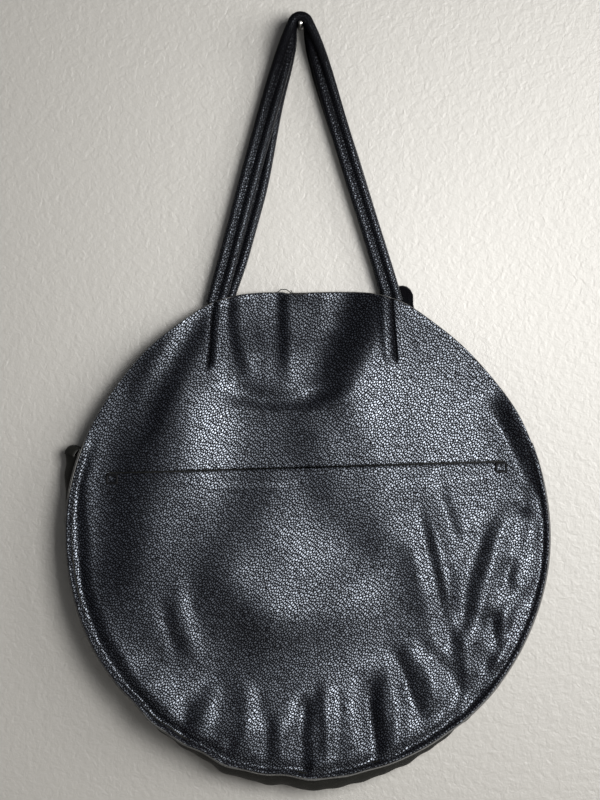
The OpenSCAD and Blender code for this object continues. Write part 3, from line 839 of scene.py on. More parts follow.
def visual_rim(a):
    """The rim with its waves: it sinks a little outside the straps and dips in front of the closure."""
    sunk = SUNK * smooth((np.abs(a) - SUNK_FROM) / 12) * smooth((SUNK_TO - np.abs(a)) / 20)
    dip = DIP * smooth((a - DIP_FROM) / 0.8) * smooth((DIP_TO - a) / 0.8)
    return rim_r(a) + rim_wave(a) - sunk - dip


# The channel inside the sewn edge: place, half width and depth in mm, then the same of the lip at its rim
CHANNEL_PLACE, CHANNEL_W, CHANNEL_DEPTH = 5.5, 4.2, 2.6
LIP_PLACE, LIP_W, LIP_H = 2.0, 1.6, 0.8
# The leather dips a little towards the slit, and folds and waves fade over this much inside the seam
SLIT_DIP, SLIT_DIP_W = 0.5, 1.6
CALM_W = 10


def sewn_share(a):
    """1 where the rim is sewn to the gusset, 0 at the mouth."""
    return smooth((np.abs(a) - GUSSET_A + 6) / 12)


def front_y(x, h):
    """The draped front panel: the construction's surface with folds, darts and waves, which all fade at
    the seam, and a channel beside the seam."""
    r, a = polar(x, h)
    inset = visual_rim(a) - r
    sewn = sewn_share(a)
    calm = 1 - sewn * (1 - smooth(inset / CALM_W))
    depth = hung_depth(x, h) - (fold_depth(x, h) + drape(x, h)) * calm - dart_depth(x, h)
    depth = np.where(np.abs(x) < TAB_W / 2 + 4, np.maximum(depth, SNAP_CLOSED), depth)
    channel = CHANNEL_DEPTH * hump((inset - CHANNEL_PLACE) / CHANNEL_W)
    channel = sewn * (channel - LIP_H * hump((inset - LIP_PLACE) / LIP_W))
    slit = SLIT_DIP * hump((h - slit_h(x)) / SLIT_DIP_W) * smooth((SLIT_HALF + 2 - np.abs(x)) / 6)
    return BACK_OUTER_Y - (depth - channel - slit)


# The slit isn't quite level: it rises to the right by this much for each mm
SLIT_TILT = 0.016


def slit_h(x):
    return SLIT_HEIGHT + SLIT_TILT * x


def disc_grid():
    """A square of parameters u, v from -1 to 1 laid onto the disc: x = u sqrt(1 - v^2 / 2) and
    h = v sqrt(1 - u^2 / 2), times the rim's radius there. One pair of rows is bent to run along the
    slit, and its number comes last."""
    dart_u = 0.43
    edges = ((-1, 0.035, 1.2), (1, 0.035, 1.2))
    u = spread(-1, 1, COL_COUNT, *edges, (-dart_u, 0.05, 1.3), (dart_u, 0.05, 1.3))
    slit_v = SLIT_HEIGHT / PANEL_R
    v = spread(-1, 1, ROW_COUNT, *edges, (slit_v, 0.025, 1.5))
    row = int(np.argmin(np.abs(v - slit_v)))
    v = np.interp(v, [-1, v[row], 1], [-1, slit_v, 1])
    v = np.insert(v, row, slit_v)
    uu, vv = np.meshgrid(u, v)
    wanted = slit_v / np.sqrt(1 - uu ** 2 / 2)
    below, above = (vv + 1) * (wanted + 1) / (slit_v + 1), (1 - vv) * (1 - wanted) / (1 - slit_v)
    vv = np.where(vv <= slit_v, below - 1, 1 - above)
    x, h = uu * np.sqrt(1 - vv ** 2 / 2), vv * np.sqrt(1 - uu ** 2 / 2)
    r, a = polar(x, h)
    scale = PANEL_R + (visual_rim(a) - PANEL_R) * smooth((r - 0.6) / 0.4)
    x, h = x * scale, h * scale
    level = slit_h(x) - h[row, COL_COUNT // 2]
    h += level * smooth(1 - np.abs(h - SLIT_HEIGHT) / 30)
    h[row:row + 2] = slit_h(x[row:row + 2])
    gap = SLIT_GAP * 0.32 * smooth((SLIT_HALF + 1 - np.abs(x[row])) / 3) + 0.06
    h[row] -= gap
    h[row + 1] += gap
    return x, h, row


def rim_tube(sheets, a, radius, y, half_r, half_y):
    """A rounded cut edge: an oval profile carried round the rim at the angles a."""
    path = rim_points(radius, a, y)
    outward = np.stack([sin_d(a), np.zeros_like(a), cos_d(a)], -1)
    forward = np.broadcast_to([0.0, -1.0, 0.0], outward.shape)
    rings = tube(path, half_r, half_y, outward, forward, 8, 22.5)
    along = np.broadcast_to(length_along(path)[:, None] * MM, rings.shape[:2])
    around = np.broadcast_to(np.arange(8)[None, :] * 0.0006, rings.shape[:2])
    sheets.grid(rings, np.stack([along, around], -1), closed_cols=True)


def front_panel():
    x, h, row = disc_grid()
    points = panel_points(x, front_y(x, h), h)
    middle = (np.abs(x[row, 1:] + x[row, :-1]) / 2) < SLIT_HALF
    skip = np.zeros((x.shape[0] - 1, x.shape[1] - 1), bool)
    skip[row] = middle
    sheets = Sheets().grid(points, np.stack([x, h], -1) * MM, skip=skip)
    panel = sheets.piece("front_panel", [PEBBLED, EDGE])
    # Painted shade in the darts' slots, on the slit's lips and on the sewn margin
    set_amount(panel, "painted_shade", lambda px, py, pz: painted_shade_share(px, pz - PANEL_Z))
    thicken(panel, LEATHER_T, rim_slot=1)
    return panel


def bend_at_mouth(piece):
    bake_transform(piece)


front = front_panel()
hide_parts("front_panel_lower", "front_panel_upper")
bend_at_mouth(front)


def rim_y(a):
    """y of the front panel's outer face at its rim."""
    radius = visual_rim(a)
    return front_y(radius * sin_d(a), radius * cos_d(a))


def front_cut_edge():
    a = np.linspace(-180, 180, 421)
    sheets = Sheets()
    rim_tube(sheets, a, visual_rim(a) - 0.1, rim_y(a) + LEATHER_T / 2, 0.55, LEATHER_T / 2 + 0.05)
    return sheets.piece("front_panel_cut_edge", [EDGE])


front_edge = front_cut_edge()
bend_at_mouth(front_edge)


# The back panel
# A puckered ear of its rim, beside the right strap: height in mm, place and half width in degrees, and how
# far it leans off the wall for each mm that it stands out
EAR_H, EAR_A, EAR_W = 14.0, 22.8, 3.1
EAR_LEAN = 0.45
# A groove outside each sewn strap end: how far outside it, half width, depth and lowest place, in mm
BACK_GROOVE_OUT, BACK_GROOVE_W, BACK_GROOVE_DEPTH, BACK_GROOVE_FROM = 9, 1.8, 1.1, 140
# The channel inside its seam: place, half width and depth in mm
BACK_CHANNEL_PLACE, BACK_CHANNEL_W, BACK_CHANNEL_DEPTH = 6.0, 2.4, 0.7
BACK_WAVE_H = 0.15


def back_y(x, h):
    """Flat on the wall, with shallow waves that only rise off it, and a raised rim at the sewn darts."""
    r, a = polar(x, h)
    inset = visual_rim(a) - r
    wave = BACK_WAVE_H * (1 + np.sin(0.035 * x + 0.021 * h + 1.0))
    groove = hump((np.abs(x) - ANCHOR_X - BACK_GROOVE_OUT) / BACK_GROOVE_W)
    groove = groove * smooth((h - BACK_GROOVE_FROM) / 14)
    channel = sewn_share(a) * BACK_CHANNEL_DEPTH * hump((inset - BACK_CHANNEL_PLACE) / BACK_CHANNEL_W)
    ear = EAR_LEAN * np.maximum(0, -inset) * (np.abs(a - EAR_A) < EAR_W)
    return BACK_OUTER_Y - 0.05 - wave - BACK_GROOVE_DEPTH * groove - channel - ear


def back_panel():
    x, h = (grid[::2, ::2] for grid in disc_grid()[:2])
    r, a = polar(x, h)
    round_top = np.sqrt(np.maximum(0, 1 - ((a - EAR_A) / EAR_W) ** 2))
    grow = 1 + EAR_H / PANEL_R * round_top * smooth((r / visual_rim(a) - 0.92) / 0.08)
    x, h = x * grow, h * grow
    points = panel_points(x, back_y(x, h), h)
    sheets = Sheets().grid(points, np.stack([-x, h], -1) * MM + 0.7, flip=True)
    panel = sheets.piece("back_panel_leather", [PEBBLED, EDGE])
    # Painted shade: the back panel is painted darker past its circle's radius, on its ear and its lifted
    # rim
    set_amount(panel, "painted_shade", lambda px, py, pz: smooth((np.hypot(px, pz - PANEL_Z) - PANEL_R - 1) / 3))
    thicken(panel, LEATHER_T - 0.1, rim_slot=1)
    return panel


back = back_panel()
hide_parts("back_panel")
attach(back, "bag")


# The gusset. Its hems roll inwards: how far below GUSSET_A in degrees, and the loop's reach and rise in mm
HEM_DROP, HEM_REACH, HEM_RISE = 1.9, 11.0, 6.6
# Angles over which its ends stand out, its right end is tucked in and its bottom sags
END_SPAN, TUCK_SPAN, SAG_FROM, SAG_SPAN = 20, 28, 125, 55
TUCK_IN = 9.0
SAG_MORE = 2.0
# Width of a turned-out edge as a share of the wall's v, and how far it stands out past the panels' rims
FLANGE_SHARE = 0.12
EDGE_OUT = 0.9
CRUMPLE_H = 0.9


def gusset_out(a, side):
    """How far the wall stands out past the seam. The left end hangs straight down from its loop, so that it
    stands out most at the top, and the right end is tucked in behind the front panel."""
    ends = 1 - smooth((a - GUSSET_A) / END_SPAN)
    tucked = np.where(side > 0, 1 - smooth((a - GUSSET_A) / TUCK_SPAN), 0)
    sag = smooth((a - SAG_FROM) / SAG_SPAN)
    out = (GUSSET_SIDE_OUT + (GUSSET_END_OUT - GUSSET_SIDE_OUT) * ends
           + (GUSSET_BOTTOM_OUT + SAG_MORE - GUSSET_SIDE_OUT) * sag - TUCK_IN * tucked)
    straight = (PANEL_R + 1.2) / sin_d(np.minimum(a, 90)) - PANEL_R
    return np.where((side < 0) & (a < 90), np.maximum(out, straight), out)


def stitch_r(a):
    return visual_rim(a) - SEAM_W


def front_flange_y(a):
    return rim_y(a) + LEATHER_T + SEAM_GAP


def gusset_profile(signed_a, v):
    """Radius and y of the gusset's outer face: v runs from the back seam to the front seam, and below 0 and
    above 1 along the turned-out edges. The wall bows out as sin(180 v)^0.8."""
    a, side = np.abs(signed_a), np.sign(signed_a)
    back, front_side = BACK_INNER_Y - PLY_GAP, front_flange_y(signed_a)
    along = np.clip(v, 0, 1)
    bow = (SEAM_W + gusset_out(a, side)) * np.sin(np.pi * along) ** 0.8
    crumple = CRUMPLE_H * np.sin(signed_a * 0.9 + 2.5 * along) * np.sin(signed_a * 0.23)
    crumple = crumple * np.sin(np.pi * along) ** 2
    turned_out = (SEAM_W + EDGE_OUT) * np.maximum(0, np.maximum(-v, v - 1)) / FLANGE_SHARE
    radius = stitch_r(signed_a) + bow + crumple + turned_out
    y = (back - LEATHER_T) * (1 - along) + (front_side + LEATHER_T) * along
    return radius, y


def gusset_piece():
    signed = np.linspace(-(180 - GUSSET_A), 180 - GUSSET_A, 300)
    flange = np.array([FLANGE_SHARE / 2, FLANGE_SHARE])
    v = np.concatenate([-flange[::-1], np.linspace(0, 1, 33), 1 + flange])
    turned, vv = np.meshgrid(signed, v, indexing="ij")
    turned = turned * (1 - HEM_DROP * ((vv > 0) & (vv < 1)) / (180 - GUSSET_A))
    aa = np.where(turned < 0, -180 - turned, 180 - turned)
    radius, y = gusset_profile(aa, vv)
    points = rim_points(radius, aa, y)
    along = np.broadcast_to(signed[:, None] * np.pi / 180 * 0.2, aa.shape)
    sheets = Sheets()
    sheets.grid(points, np.stack([along, y * MM], -1), flip=True)
    # hems: the leather rolls inwards over an oval loop, open towards the bag
    for side in (-1, 1):
        t = np.linspace(-14, 158, 18)
        v = np.linspace(0.14, 0.86, 15)
        tt, vv = np.meshgrid(t, v, indexing="ij")
        radius, y = gusset_profile(np.full(tt.shape, side * (GUSSET_A + HEM_DROP)), vv)
        radius = radius - LEATHER_T / 2 - HEM_REACH / 2 * (1 - cos_d(tt))
        turn = side * (GUSSET_A + HEM_DROP - np.degrees(HEM_RISE * sin_d(tt) / PANEL_R))
        hem = rim_points(radius, turn, y)
        sheets.grid(hem, np.stack([tt * 0.00006, y * MM], -1), flip=side < 0)
    strip = sheets.piece("gusset_leather", [SMOOTH, EDGE])
    thicken(strip, HEM_T, rim_slot=1)
    return strip


gusset = gusset_piece()
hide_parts("gusset")
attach(gusset, "bag")


def gusset_cut_edges():
    a = np.linspace(GUSSET_A, 360 - GUSSET_A, 321)
    a = np.where(a <= 180, a, a - 360)
    sheets = Sheets()
    back_flange_y = np.full(a.shape, BACK_INNER_Y - PLY_GAP - LEATHER_T / 2)
    for y in (front_flange_y(a) + LEATHER_T / 2, back_flange_y):
        rim_tube(sheets, a, visual_rim(a) + EDGE_OUT, y, 0.6, 0.75)
    return sheets.piece("gusset_cut_edges", [EDGE])


gusset_edges = gusset_cut_edges()
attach(gusset_edges, "bag")


# Straps
ROOT_DIST = math.hypot(ANCHOR_X, ROOT_Z - BEND_Z)
LEG_A = math.degrees(math.atan2(ANCHOR_X, BEND_Z - ROOT_Z)) - math.degrees(math.asin(BEND_R / ROOT_DIST))
ROLL_X = (STRAP_W - STRAP_T) / 2
LAYER_GAP = 2 * PART_GAP
GROOVE_T = 3.6
CORD_R = STRAP_T / 2 - WRAP_T - PLY_GAP - 0.3
PUCKER_LEN = 3.4
PUCKER_SHARE = 0.2
PUCKER_PLACE, PUCKER_W = 1.2, 2.6
# How far each leg of a strap leans in towards the other leg: steps of (from, to, mm), down from the hook
LEAN_STEPS = {
    ("front_strap", -1): ((20, 90, -0.6), (120, 220, 0.8)),
    ("front_strap", 1): ((20, 90, 0.8), (120, 220, -0.8)),
    ("back_strap", -1): ((-12, 20, 1.6), (50, 150, 6.6), (195, 240, -2.2)),
    ("back_strap", 1): ((-12, 20, 1.6), (40, 130, -1.6)),
}


def layer_y(turn, front):
    """y of a strap's middle line where it is turned side on by so many degrees. Turned, the back strap
    keeps off the wall, and the front strap's rolls keep off those of the back strap."""
    back_y_there = STRAP_Y - (ROLL_X - (BACK_INNER_Y - STRAP_Y - STRAP_T / 2)) * sin_d(turn)
    if not front:
        return back_y_there
    beside = np.sqrt(np.maximum(0, (STRAP_T + LAYER_GAP) ** 2 - (2 * ROLL_X * cos_d(turn)) ** 2))
    return back_y_there - np.maximum(2 * STRAP_Y, 2 * ROLL_X * sin_d(turn) + beside)


class StrapPath:
    """The middle line of one strap: up the right leg, round the hook and down the left leg. The strap
    lies face on at the bag and turns side on over the hook: the turn is 90 (1 - s)^2 at the share s of
    its twist."""

    def __init__(self, label, root_drop=0.0, leg_points=320, bend_points=40):
        t = np.linspace(LEG_A, 180 - LEG_A, bend_points)
        arc = np.stack([BEND_R * cos_d(t), BEND_Z + BEND_R * sin_d(t)], -1)
        reach = (arc[0, 1] - (ROOT_Z - root_drop)) / cos_d(LEG_A)
        down = np.linspace(reach, 0, leg_points, endpoint=False)
        right = arc[0] + down[:, None] * np.array([sin_d(LEG_A), -cos_d(LEG_A)])
        middle = np.concatenate([right, arc, right[::-1] * np.array([-1, 1])])
        t = np.concatenate([np.full(leg_points, LEG_A), t, np.full(leg_points, 180 - LEG_A)])
        self.out = np.stack([cos_d(t), sin_d(t)], -1)
        self.down = np.concatenate([down, -BEND_R * np.sin(np.linspace(0, np.pi, bend_points)), down[::-1]])
        self.turn = 90 * (1 - np.clip(self.down / TWIST_LEN, 0, 1)) ** 2
        self.y = layer_y(self.turn, label == "front_strap")
        self.run = length_along(middle)
        lean_in = np.zeros(len(t))
        for side in (-1, 1):
            leg = np.sign(middle[:, 0]) == side
            for low, high, amount in LEAN_STEPS[label, side]:
                lean_in += leg * amount * smooth((self.down - low) / (high - low))
        self.middle = middle - lean_in[:, None] * self.out

    def place(self, across, thick):
        """Points at across, away from the hook, and thick, towards the back, from the middle line."""
        c, s = cos_d(self.turn)[:, None], sin_d(self.turn)[:, None]
        outward, y = across * c + thick * s, self.y[:, None] - across * s + thick * c
        return np.stack([self.middle[:, None, 0] + outward * self.out[:, None, 0], y,
                         self.middle[:, None, 1] + outward * self.out[:, None, 1]], -1)


def strap_outline(steps=19, sweep=286.0):
    """The wrap's outline as [across, thickness]: two rolls, most of a circle each, and a deep waist."""
    t = 90 - sweep / 2 + sweep * np.arange(steps) / (steps - 1)
    right = np.stack([ROLL_X + STRAP_T / 2 * sin_d(t), STRAP_T / 2 * cos_d(t)], -1)
    left = right[::-1] * np.array([-1, 1])
    waist = GROOVE_T / 2
    back_waist = np.array([[0.4, -waist], [-0.4, -waist]])
    front_waist = np.array([[-0.4, waist], [0.4, waist]])
    return np.concatenate([right, back_waist, left, front_waist])


def painted_shade_at_hook(x, y, z):
    """Painted shade: the straps are painted matt and dark near the hook, and this fades down their legs."""
    return 0.85 * (1 - smooth((BEND_Z - 20 - z) / 150))


def strap_piece(label):
    """The wrap carried along the strap's path. Its stitches draw it in beside the groove, one pucker for
    each, and its rolls swell and thin slowly along it."""
    line = StrapPath(label, root_drop=5.0)
    outline = strap_outline()
    across, thick = outline[None, :, 0], outline[None, :, 1]
    near_groove = hump((np.abs(across) - PUCKER_PLACE) / PUCKER_W)
    run = line.run[:, None]
    pucker = 0.5 + 0.5 * np.cos(2 * np.pi * run / PUCKER_LEN + 1.2 * np.sign(across))
    swell = 1 + 0.022 * np.sin(run / 17.0 + 1.3 * np.sign(across)) * np.sin(run / 7.3)
    points = line.place(across, thick * swell * (1 - PUCKER_SHARE * near_groove * pucker))
    places = np.stack(np.broadcast_arrays(run * MM, length_along(outline)[None, :] * MM), -1)
    sheets = Sheets()
    sheets.grid(points, places + (0.4 if label == "front_strap" else 0.9), closed_cols=True, flip=True)
    piece = sheets.piece(label + "_wrap", [STRAP_LEATHER])
    # Painted shade near the hook
    set_amount(piece, "painted_shade", painted_shade_at_hook)
    thicken(piece, WRAP_T)
    return piece


def end_cap(sheets, ring, flip=False):
    """A flat cap: the ring joined to its middle."""
    cap = np.stack([np.broadcast_to(ring.mean(axis=0), ring.shape), ring])
    sheets.grid(cap, np.zeros((2, len(ring), 2)), closed_cols=True, flip=flip)


def cord_piece(label):
    """The two filler cords: round tubes on the middles of the rolls, with flat ends."""
    line = StrapPath(label)
    sheets = Sheets()
    radial = np.stack([line.out[:, 0], np.zeros(len(line.out)), line.out[:, 1]], -1)
    back = np.broadcast_to([0.0, 1.0, 0.0], radial.shape)
    for side in (-1, 1):
        centre = line.place(np.full((len(line.run), 1), side * ROLL_X), 0.0)[:, 0]
        rings = tube(centre, CORD_R, CORD_R, radial, back, 12)[::4]
        around = np.broadcast_to(np.arange(12)[None, :] * 0.0015, rings.shape[:2])
        places = np.stack([np.broadcast_to(line.run[::4, None] * MM, around.shape), around], -1)
        sheets.grid(rings, places, closed_cols=True, flip=True)
        end_cap(sheets, rings[0], flip=True)
        end_cap(sheets, rings[-1])
    piece = sheets.piece(label + "_filler", [CORD])
    return piece


def strap_stitches(label):
    """The seam between the rolls, on both faces of the strap."""
    line = StrapPath(label)
    whole = []
    for face in (-1, 1):
        points = line.place(np.zeros((len(line.run), 1)), face * (GROOVE_T / 2 - 0.15))[:, 0]
        above = line.place(np.zeros((len(line.run), 1)), face * (GROOVE_T / 2 + 1))[:, 0]
        whole.append((points, above - points))
    piece = stitch_row(label + "_stitches", whole, PUCKER_LEN - 0.8, 0.8, 0.7)
    return piece


def strap_blend(piece):
    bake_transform(piece)


for body, base in (("front_strap", "front_top"), ("back_strap", "bag")):
    wrap = strap_piece(body)
    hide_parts(body)
    cords = cord_piece(body)
    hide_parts(body + "_cords")
    for part in (wrap, cords, strap_stitches(body)):
        strap_blend(part)


# Sewn strap ends and patches
END_CORNER = 5


def front_seat_y(drop):
    """y at which the front ends lie: behind the rearmost place of the panel across both of them."""
    h = ROOT_Z - PLY_GAP - drop - PANEL_Z
    across = np.linspace(-1, 1, 13) * PATCH_W / 2
    across = np.concatenate([across - ANCHOR_X, across + ANCHOR_X])
    return float(np.max(front_y(across, h + 0 * across))) + LEATHER_T + PART_GAP


def strap_end(name, side, back):
    """The rolled strap flattens over its first mm below the rim into a flat end with rounded corners: the
    two rolls' outline shrinks in thickness from one ring to the next."""
    drops = np.concatenate([np.linspace(0, END_TAPER, 9), np.linspace(END_TAPER, END_LEN, 12)[1:]])
    outline = strap_outline(9)
    thick = STRAP_T - (STRAP_T - END_T) * smooth(drops / END_TAPER)
    if back:
        middle = BACK_INNER_Y - PART_GAP - thick / 2
    else:
        ramp = np.interp(drops, [0, END_TAPER], [-STRAP_Y - STRAP_T / 2, front_seat_y(END_TAPER)])
        seat = np.array([front_seat_y(drop) for drop in drops])
        middle = np.where(drops < END_TAPER, ramp, seat) + thick / 2
    past = np.maximum(0, drops - END_LEN + END_CORNER)
    rounding = np.sqrt(np.maximum(0.02, 1 - (past / (END_CORNER + 0.2)) ** 2))
    rings = np.stack([
        side * ANCHOR_X + outline[None, :, 0] * (0.62 + 0.38 * rounding[:, None]),
        middle[:, None] + outline[None, :, 1] * (thick / STRAP_T)[:, None],
        np.broadcast_to((ROOT_Z - PLY_GAP - drops)[:, None], (len(drops), len(outline)))], -1)
    places = np.stack(np.broadcast_arrays(drops[:, None] * MM, length_along(outline)[None, :] * MM), -1)
    sheets = Sheets().grid(rings, places, closed_cols=True)
    end_cap(sheets, rings[0])
    end_cap(sheets, rings[-1], flip=True)
    piece = sheets.piece(name, [STRAP_LEATHER])
    return piece


def patch(name, side, back):
    """A leather patch that lies over the flat strap end, its edges pressed down."""
    drops = np.linspace(END_TAPER, END_LEN, 24)
    across = np.linspace(-PATCH_W / 2, PATCH_W / 2, 21)
    press = 0.5 * hump((np.abs(across) - STRAP_W / 2 - 1.2) / 1.4)
    if back:
        base = np.full(drops.shape, BACK_INNER_Y - PART_GAP - END_T - PLY_GAP - PATCH_T)
    else:
        base = np.array([front_seat_y(d) for d in drops]) + END_T + PLY_GAP + PATCH_T
    pressed = base[:, None] + (press if back else -press)[None, :]
    x = side * ANCHOR_X + np.broadcast_to(across[None, :], pressed.shape)
    z = np.broadcast_to((ROOT_Z - PLY_GAP - drops)[:, None], pressed.shape)
    piece = Sheets().grid(np.stack([x, pressed, z], -1), flip=not back).piece(name, [SMOOTH, EDGE])
    thicken(piece, PATCH_T, rim_slot=1)
    return piece


for place, body, back_side in (("front", "front_top", False), ("back", "bag", True)):
    for hand, side in (("left", -1), ("right", 1)):
        end = strap_end(f"{place}_strap_end_{hand}_leather", side, back_side)
        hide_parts(f"{place}_strap_end_{hand}")
        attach(end, body)
        cover = patch(f"{place}_patch_{hand}_leather", side, back_side)
        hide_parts(f"{place}_patch_{hand}")
        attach(cover, body)


# Slit pocket
FACING_Y = LEATHER_T + SEAM_GAP
SLIT_LOW, SLIT_HIGH = SLIT_HEIGHT - SLIT_GAP / 2, SLIT_HEIGHT + SLIT_GAP / 2


def slit_facing(name, low, high):
    """A strip that follows the front panel from behind, between two heights."""
    h, x = np.meshgrid(np.linspace(low, high, 6), SLIT_HALF * np.linspace(-1, 1, 160), indexing="ij")
    points = panel_points(x, front_y(x, h) + FACING_Y, h)
    piece = Sheets().grid(points, np.stack([x, h], -1) * MM).piece(name, [SMOOTH, EDGE])
    thicken(piece, FACING_T)
    return piece


for label, low, high in (("slit_facing_upper", SLIT_HIGH - 0.5, SLIT_HIGH + FACING_H),
                         ("slit_facing_lower", SLIT_LOW - FACING_H, SLIT_LOW + 0.2)):
    strip = slit_facing(label + "_leather", low, high)
    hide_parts(label)
    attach(strip, "bag")


# How much narrower the pouch is at its fold, as a share of its width at the slit
POUCH_TAPER = 0.28


def pouch_piece():
    """A flat cloth pocket: one sheet that runs down the front, round the bottom fold and up the back. The
    two layers meet at the side seams: their spacing is the pouch's gap times 1 - (x / half)^8."""
    rows, cols = 40, 90
    s = np.linspace(0, 1, rows)
    down = np.concatenate([s, s[::-1][1:]])
    layer = np.concatenate([np.zeros(rows), np.ones(rows - 1)])
    half = (SLIT_HALF - FACING_H / 2) * (1 - POUCH_TAPER * down ** 2)
    across = np.linspace(-1, 1, cols)
    x = half[:, None] * across[None, :]
    h = (SLIT_LOW - POUCH_H * down)[:, None] + 0 * x
    y = front_y(x, h) + FACING_Y + FACING_T + SEAM_GAP
    spacing = (POUCH_GAP + CLOTH_T) * (1 - np.abs(across)[None, :] ** 8)
    spacing = spacing * np.sqrt(np.maximum(0, 1 - down[:, None] ** 12))
    ripple = 0.25 * np.sin(x * 0.11 + 1.3) * np.sin(np.pi * down)[:, None]
    y = y + (0.3 + spacing + ripple) * layer[:, None]
    flat = np.concatenate([s, 2 - s[::-1][1:]])[:, None] * POUCH_H + 0 * x
    sheets = Sheets().grid(panel_points(x, y, h), np.stack([x, flat], -1) * MM)
    piece = sheets.piece("pocket_pouch_cloth", [CLOTH])
    thicken(piece, CLOTH_T * 0.6)
    return piece


pouch = pouch_piece()
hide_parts("pocket_pouch")
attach(pouch, "bag")


# Closure tabs, snap, stitches and loose threads
SNAP_Z = PANEL_Z + PANEL_R - TAB_H / 2
WASHER_BACK_Y = BACK_INNER_Y - PLY_GAP
TAB_BACK_Y = WASHER_BACK_Y - WASHER_T - PLY_GAP
SOCKET_Y = TAB_BACK_Y - LEATHER_T - PLY_GAP
PLATE_Y = SOCKET_Y - SOCKET_T - PART_GAP
TAB_FRONT_Y = PLATE_Y - PLATE_T - PLY_GAP


def closure_tab(name, face_y):
    """A flat tab whose rows and columns are drawn in at its round corners: there a point that is over_x
    and over_z past the corner's centre moves in to the circle through its square."""
    s = np.linspace(-1, 1, 17)
    ss, tt = np.meshgrid(s, s, indexing="ij")
    x, z = ss * TAB_W / 2, tt * TAB_H / 2
    straight_x, straight_z = TAB_W / 2 - TAB_ROUND, TAB_H / 2 - TAB_ROUND
    over_x, over_z = np.maximum(0, np.abs(x) - straight_x), np.maximum(0, np.abs(z) - straight_z)
    pull = np.maximum(over_x, over_z) / np.maximum(np.hypot(over_x, over_z), 1e-6)
    corner = (over_x > 0) & (over_z > 0)
    x = np.where(corner, np.sign(x) * (straight_x + over_x * pull), x)
    z = np.where(corner, np.sign(z) * (straight_z + over_z * pull), z)
    tab = Sheets().grid(np.stack([x, face_y + 0 * x, SNAP_Z + z], -1)).piece(name, [SMOOTH, EDGE])
    thicken(tab, LEATHER_T, rim_slot=1)
    return tab


for label, face_y, body in (("closure_tab_front", TAB_FRONT_Y - LEATHER_T, "front_top"),
                            ("closure_tab_back", TAB_BACK_Y - LEATHER_T, "bag")):
    tab = closure_tab(label + "_leather", face_y)
    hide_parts(label)
    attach(tab, body)

for node, material in (("snap_stud", METAL), ("snap_socket", METAL), ("snap_magnet", FERRITE),
                       ("snap_washer_front", METAL), ("snap_washer_back", METAL)):
    for number in range(len(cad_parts[node].data.materials)):
        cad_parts[node].data.materials[number] = material


def on_front(x, h, lift=0.0):
    """Points on the front panel's outer face, and the directions that point out of it there."""
    x, h = np.broadcast_arrays(np.asarray(x, float), np.asarray(h, float))
    y = front_y(x, h)
    slope_x = (front_y(x + 0.3, h) - front_y(x - 0.3, h)) / 0.6
    slope_h = (front_y(x, h + 0.3) - front_y(x, h - 0.3)) / 0.6
    out = np.stack([slope_x, -np.ones_like(slope_x), slope_h], -1)
    out /= np.linalg.norm(out, axis=-1)[..., None]
    return panel_points(x, y, h) + out * lift, out


def edge_seam():
    """Stitches in the channel a few mm inside the rim."""
    a = np.linspace(GUSSET_A + 1, 359 - GUSSET_A, 900)
    radius = visual_rim(np.where(a > 180, a - 360, a)) - SEAM_W - 0.6
    points, out = on_front(radius * sin_d(a), radius * cos_d(a))
    return stitch_row("edge_seam_stitches", [(points, out)], length=3.0, gap=0.9, thick=0.55)


seam_stitches = edge_seam()
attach(seam_stitches, "bag")


def box_path(cx, ch, w, h, steps=12):
    """A rectangle on the panel, as x and h."""
    t = np.linspace(0, 1, steps, endpoint=False)
    across, up = -w / 2 + w * t, -h / 2 + h * t
    x = np.concatenate([across, np.full(steps, w / 2), -across, np.full(steps, -w / 2), [-w / 2]])
    y = np.concatenate([np.full(steps, -h / 2), up, np.full(steps, h / 2), -up, [-h / 2]])
    return cx + x, ch + y


def thread_loop(name, x, h, thick, lift, body):
    """A thread that lies on the front panel along x, h."""
    points, out = on_front(x, h, lift)
    along = np.gradient(points, axis=0)
    along /= np.linalg.norm(along, axis=1)[:, None]
    side = np.cross(along, out)
    rings = tube(points, thick / 2, thick / 2, side, out, 6)
    piece = Sheets().grid(rings, closed_cols=True).piece(name, [BLACK_THREAD])
    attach(piece, body)
    return piece


# The bar tacks at the slit's ends: a box of thread each, a little inside its end and below it
BAR_W, BAR_H, BAR_T = 8.4, 6.6, 2.0
BAR_IN, BAR_DROP = 3.6, 5.2
for label, side in (("left", -1), ("right", 1)):
    bar_x, bar_h = box_path(side * (SLIT_HALF - BAR_IN), slit_h(side * SLIT_HALF) - BAR_DROP, BAR_W, BAR_H)
    thread_loop("bar_tack_" + label, bar_x, bar_h, BAR_T, 0.3, "bag")

# A slack stitch at the rim, beside the closure, and a thread end that lies on the leather below it
for label, pixels in (("loop", ((270, 297.5), (273, 294), (278, 290.6), (283, 290.6), (288, 294.2))),
                      ("end", ((287.5, 291.5), (289, 294), (292, 297.5), (295, 301)))):
    thread_x, thread_h = np.array([panel_place(*pixel) for pixel in pixels]).T
    even = np.linspace(0, len(thread_x) - 1, 25)
    curve_x, curve_h = (np.interp(even, np.arange(len(p)), p) for p in (thread_x, thread_h))
    thread_loop("slack_stitch_" + label, curve_x, curve_h, 0.7, 0.4, "front_top")


# Floor, wall and light
def plain_paint(name, colour):
    s = Shader(name)
    speckle = s.noise(s.object_place(), 2.2, 4.0)
    s.set(base_color=s.mix(speckle.ramp(0.3, 0.7), tuple(c * 0.97 for c in colour), colour),
          roughness=0.85, specular_ior_level=0.2)
    return s


# Painted light: a pool of light is painted on the wall round one place. Its colour goes between its dim and
# its lit colour by exp(-d / reach), where d is the distance from that place in metres, rounded off near it,
# and reach is given after the place
LIGHT_POOL_AT = (0.10, -0.235)
LIGHT_POOL_REACH, LIGHT_POOL_ROUND = 0.274, 0.05
WALL_POOL_LIT, WALL_POOL_DIM = (0.425, 0.415, 0.395), (0.205, 0.198, 0.184)


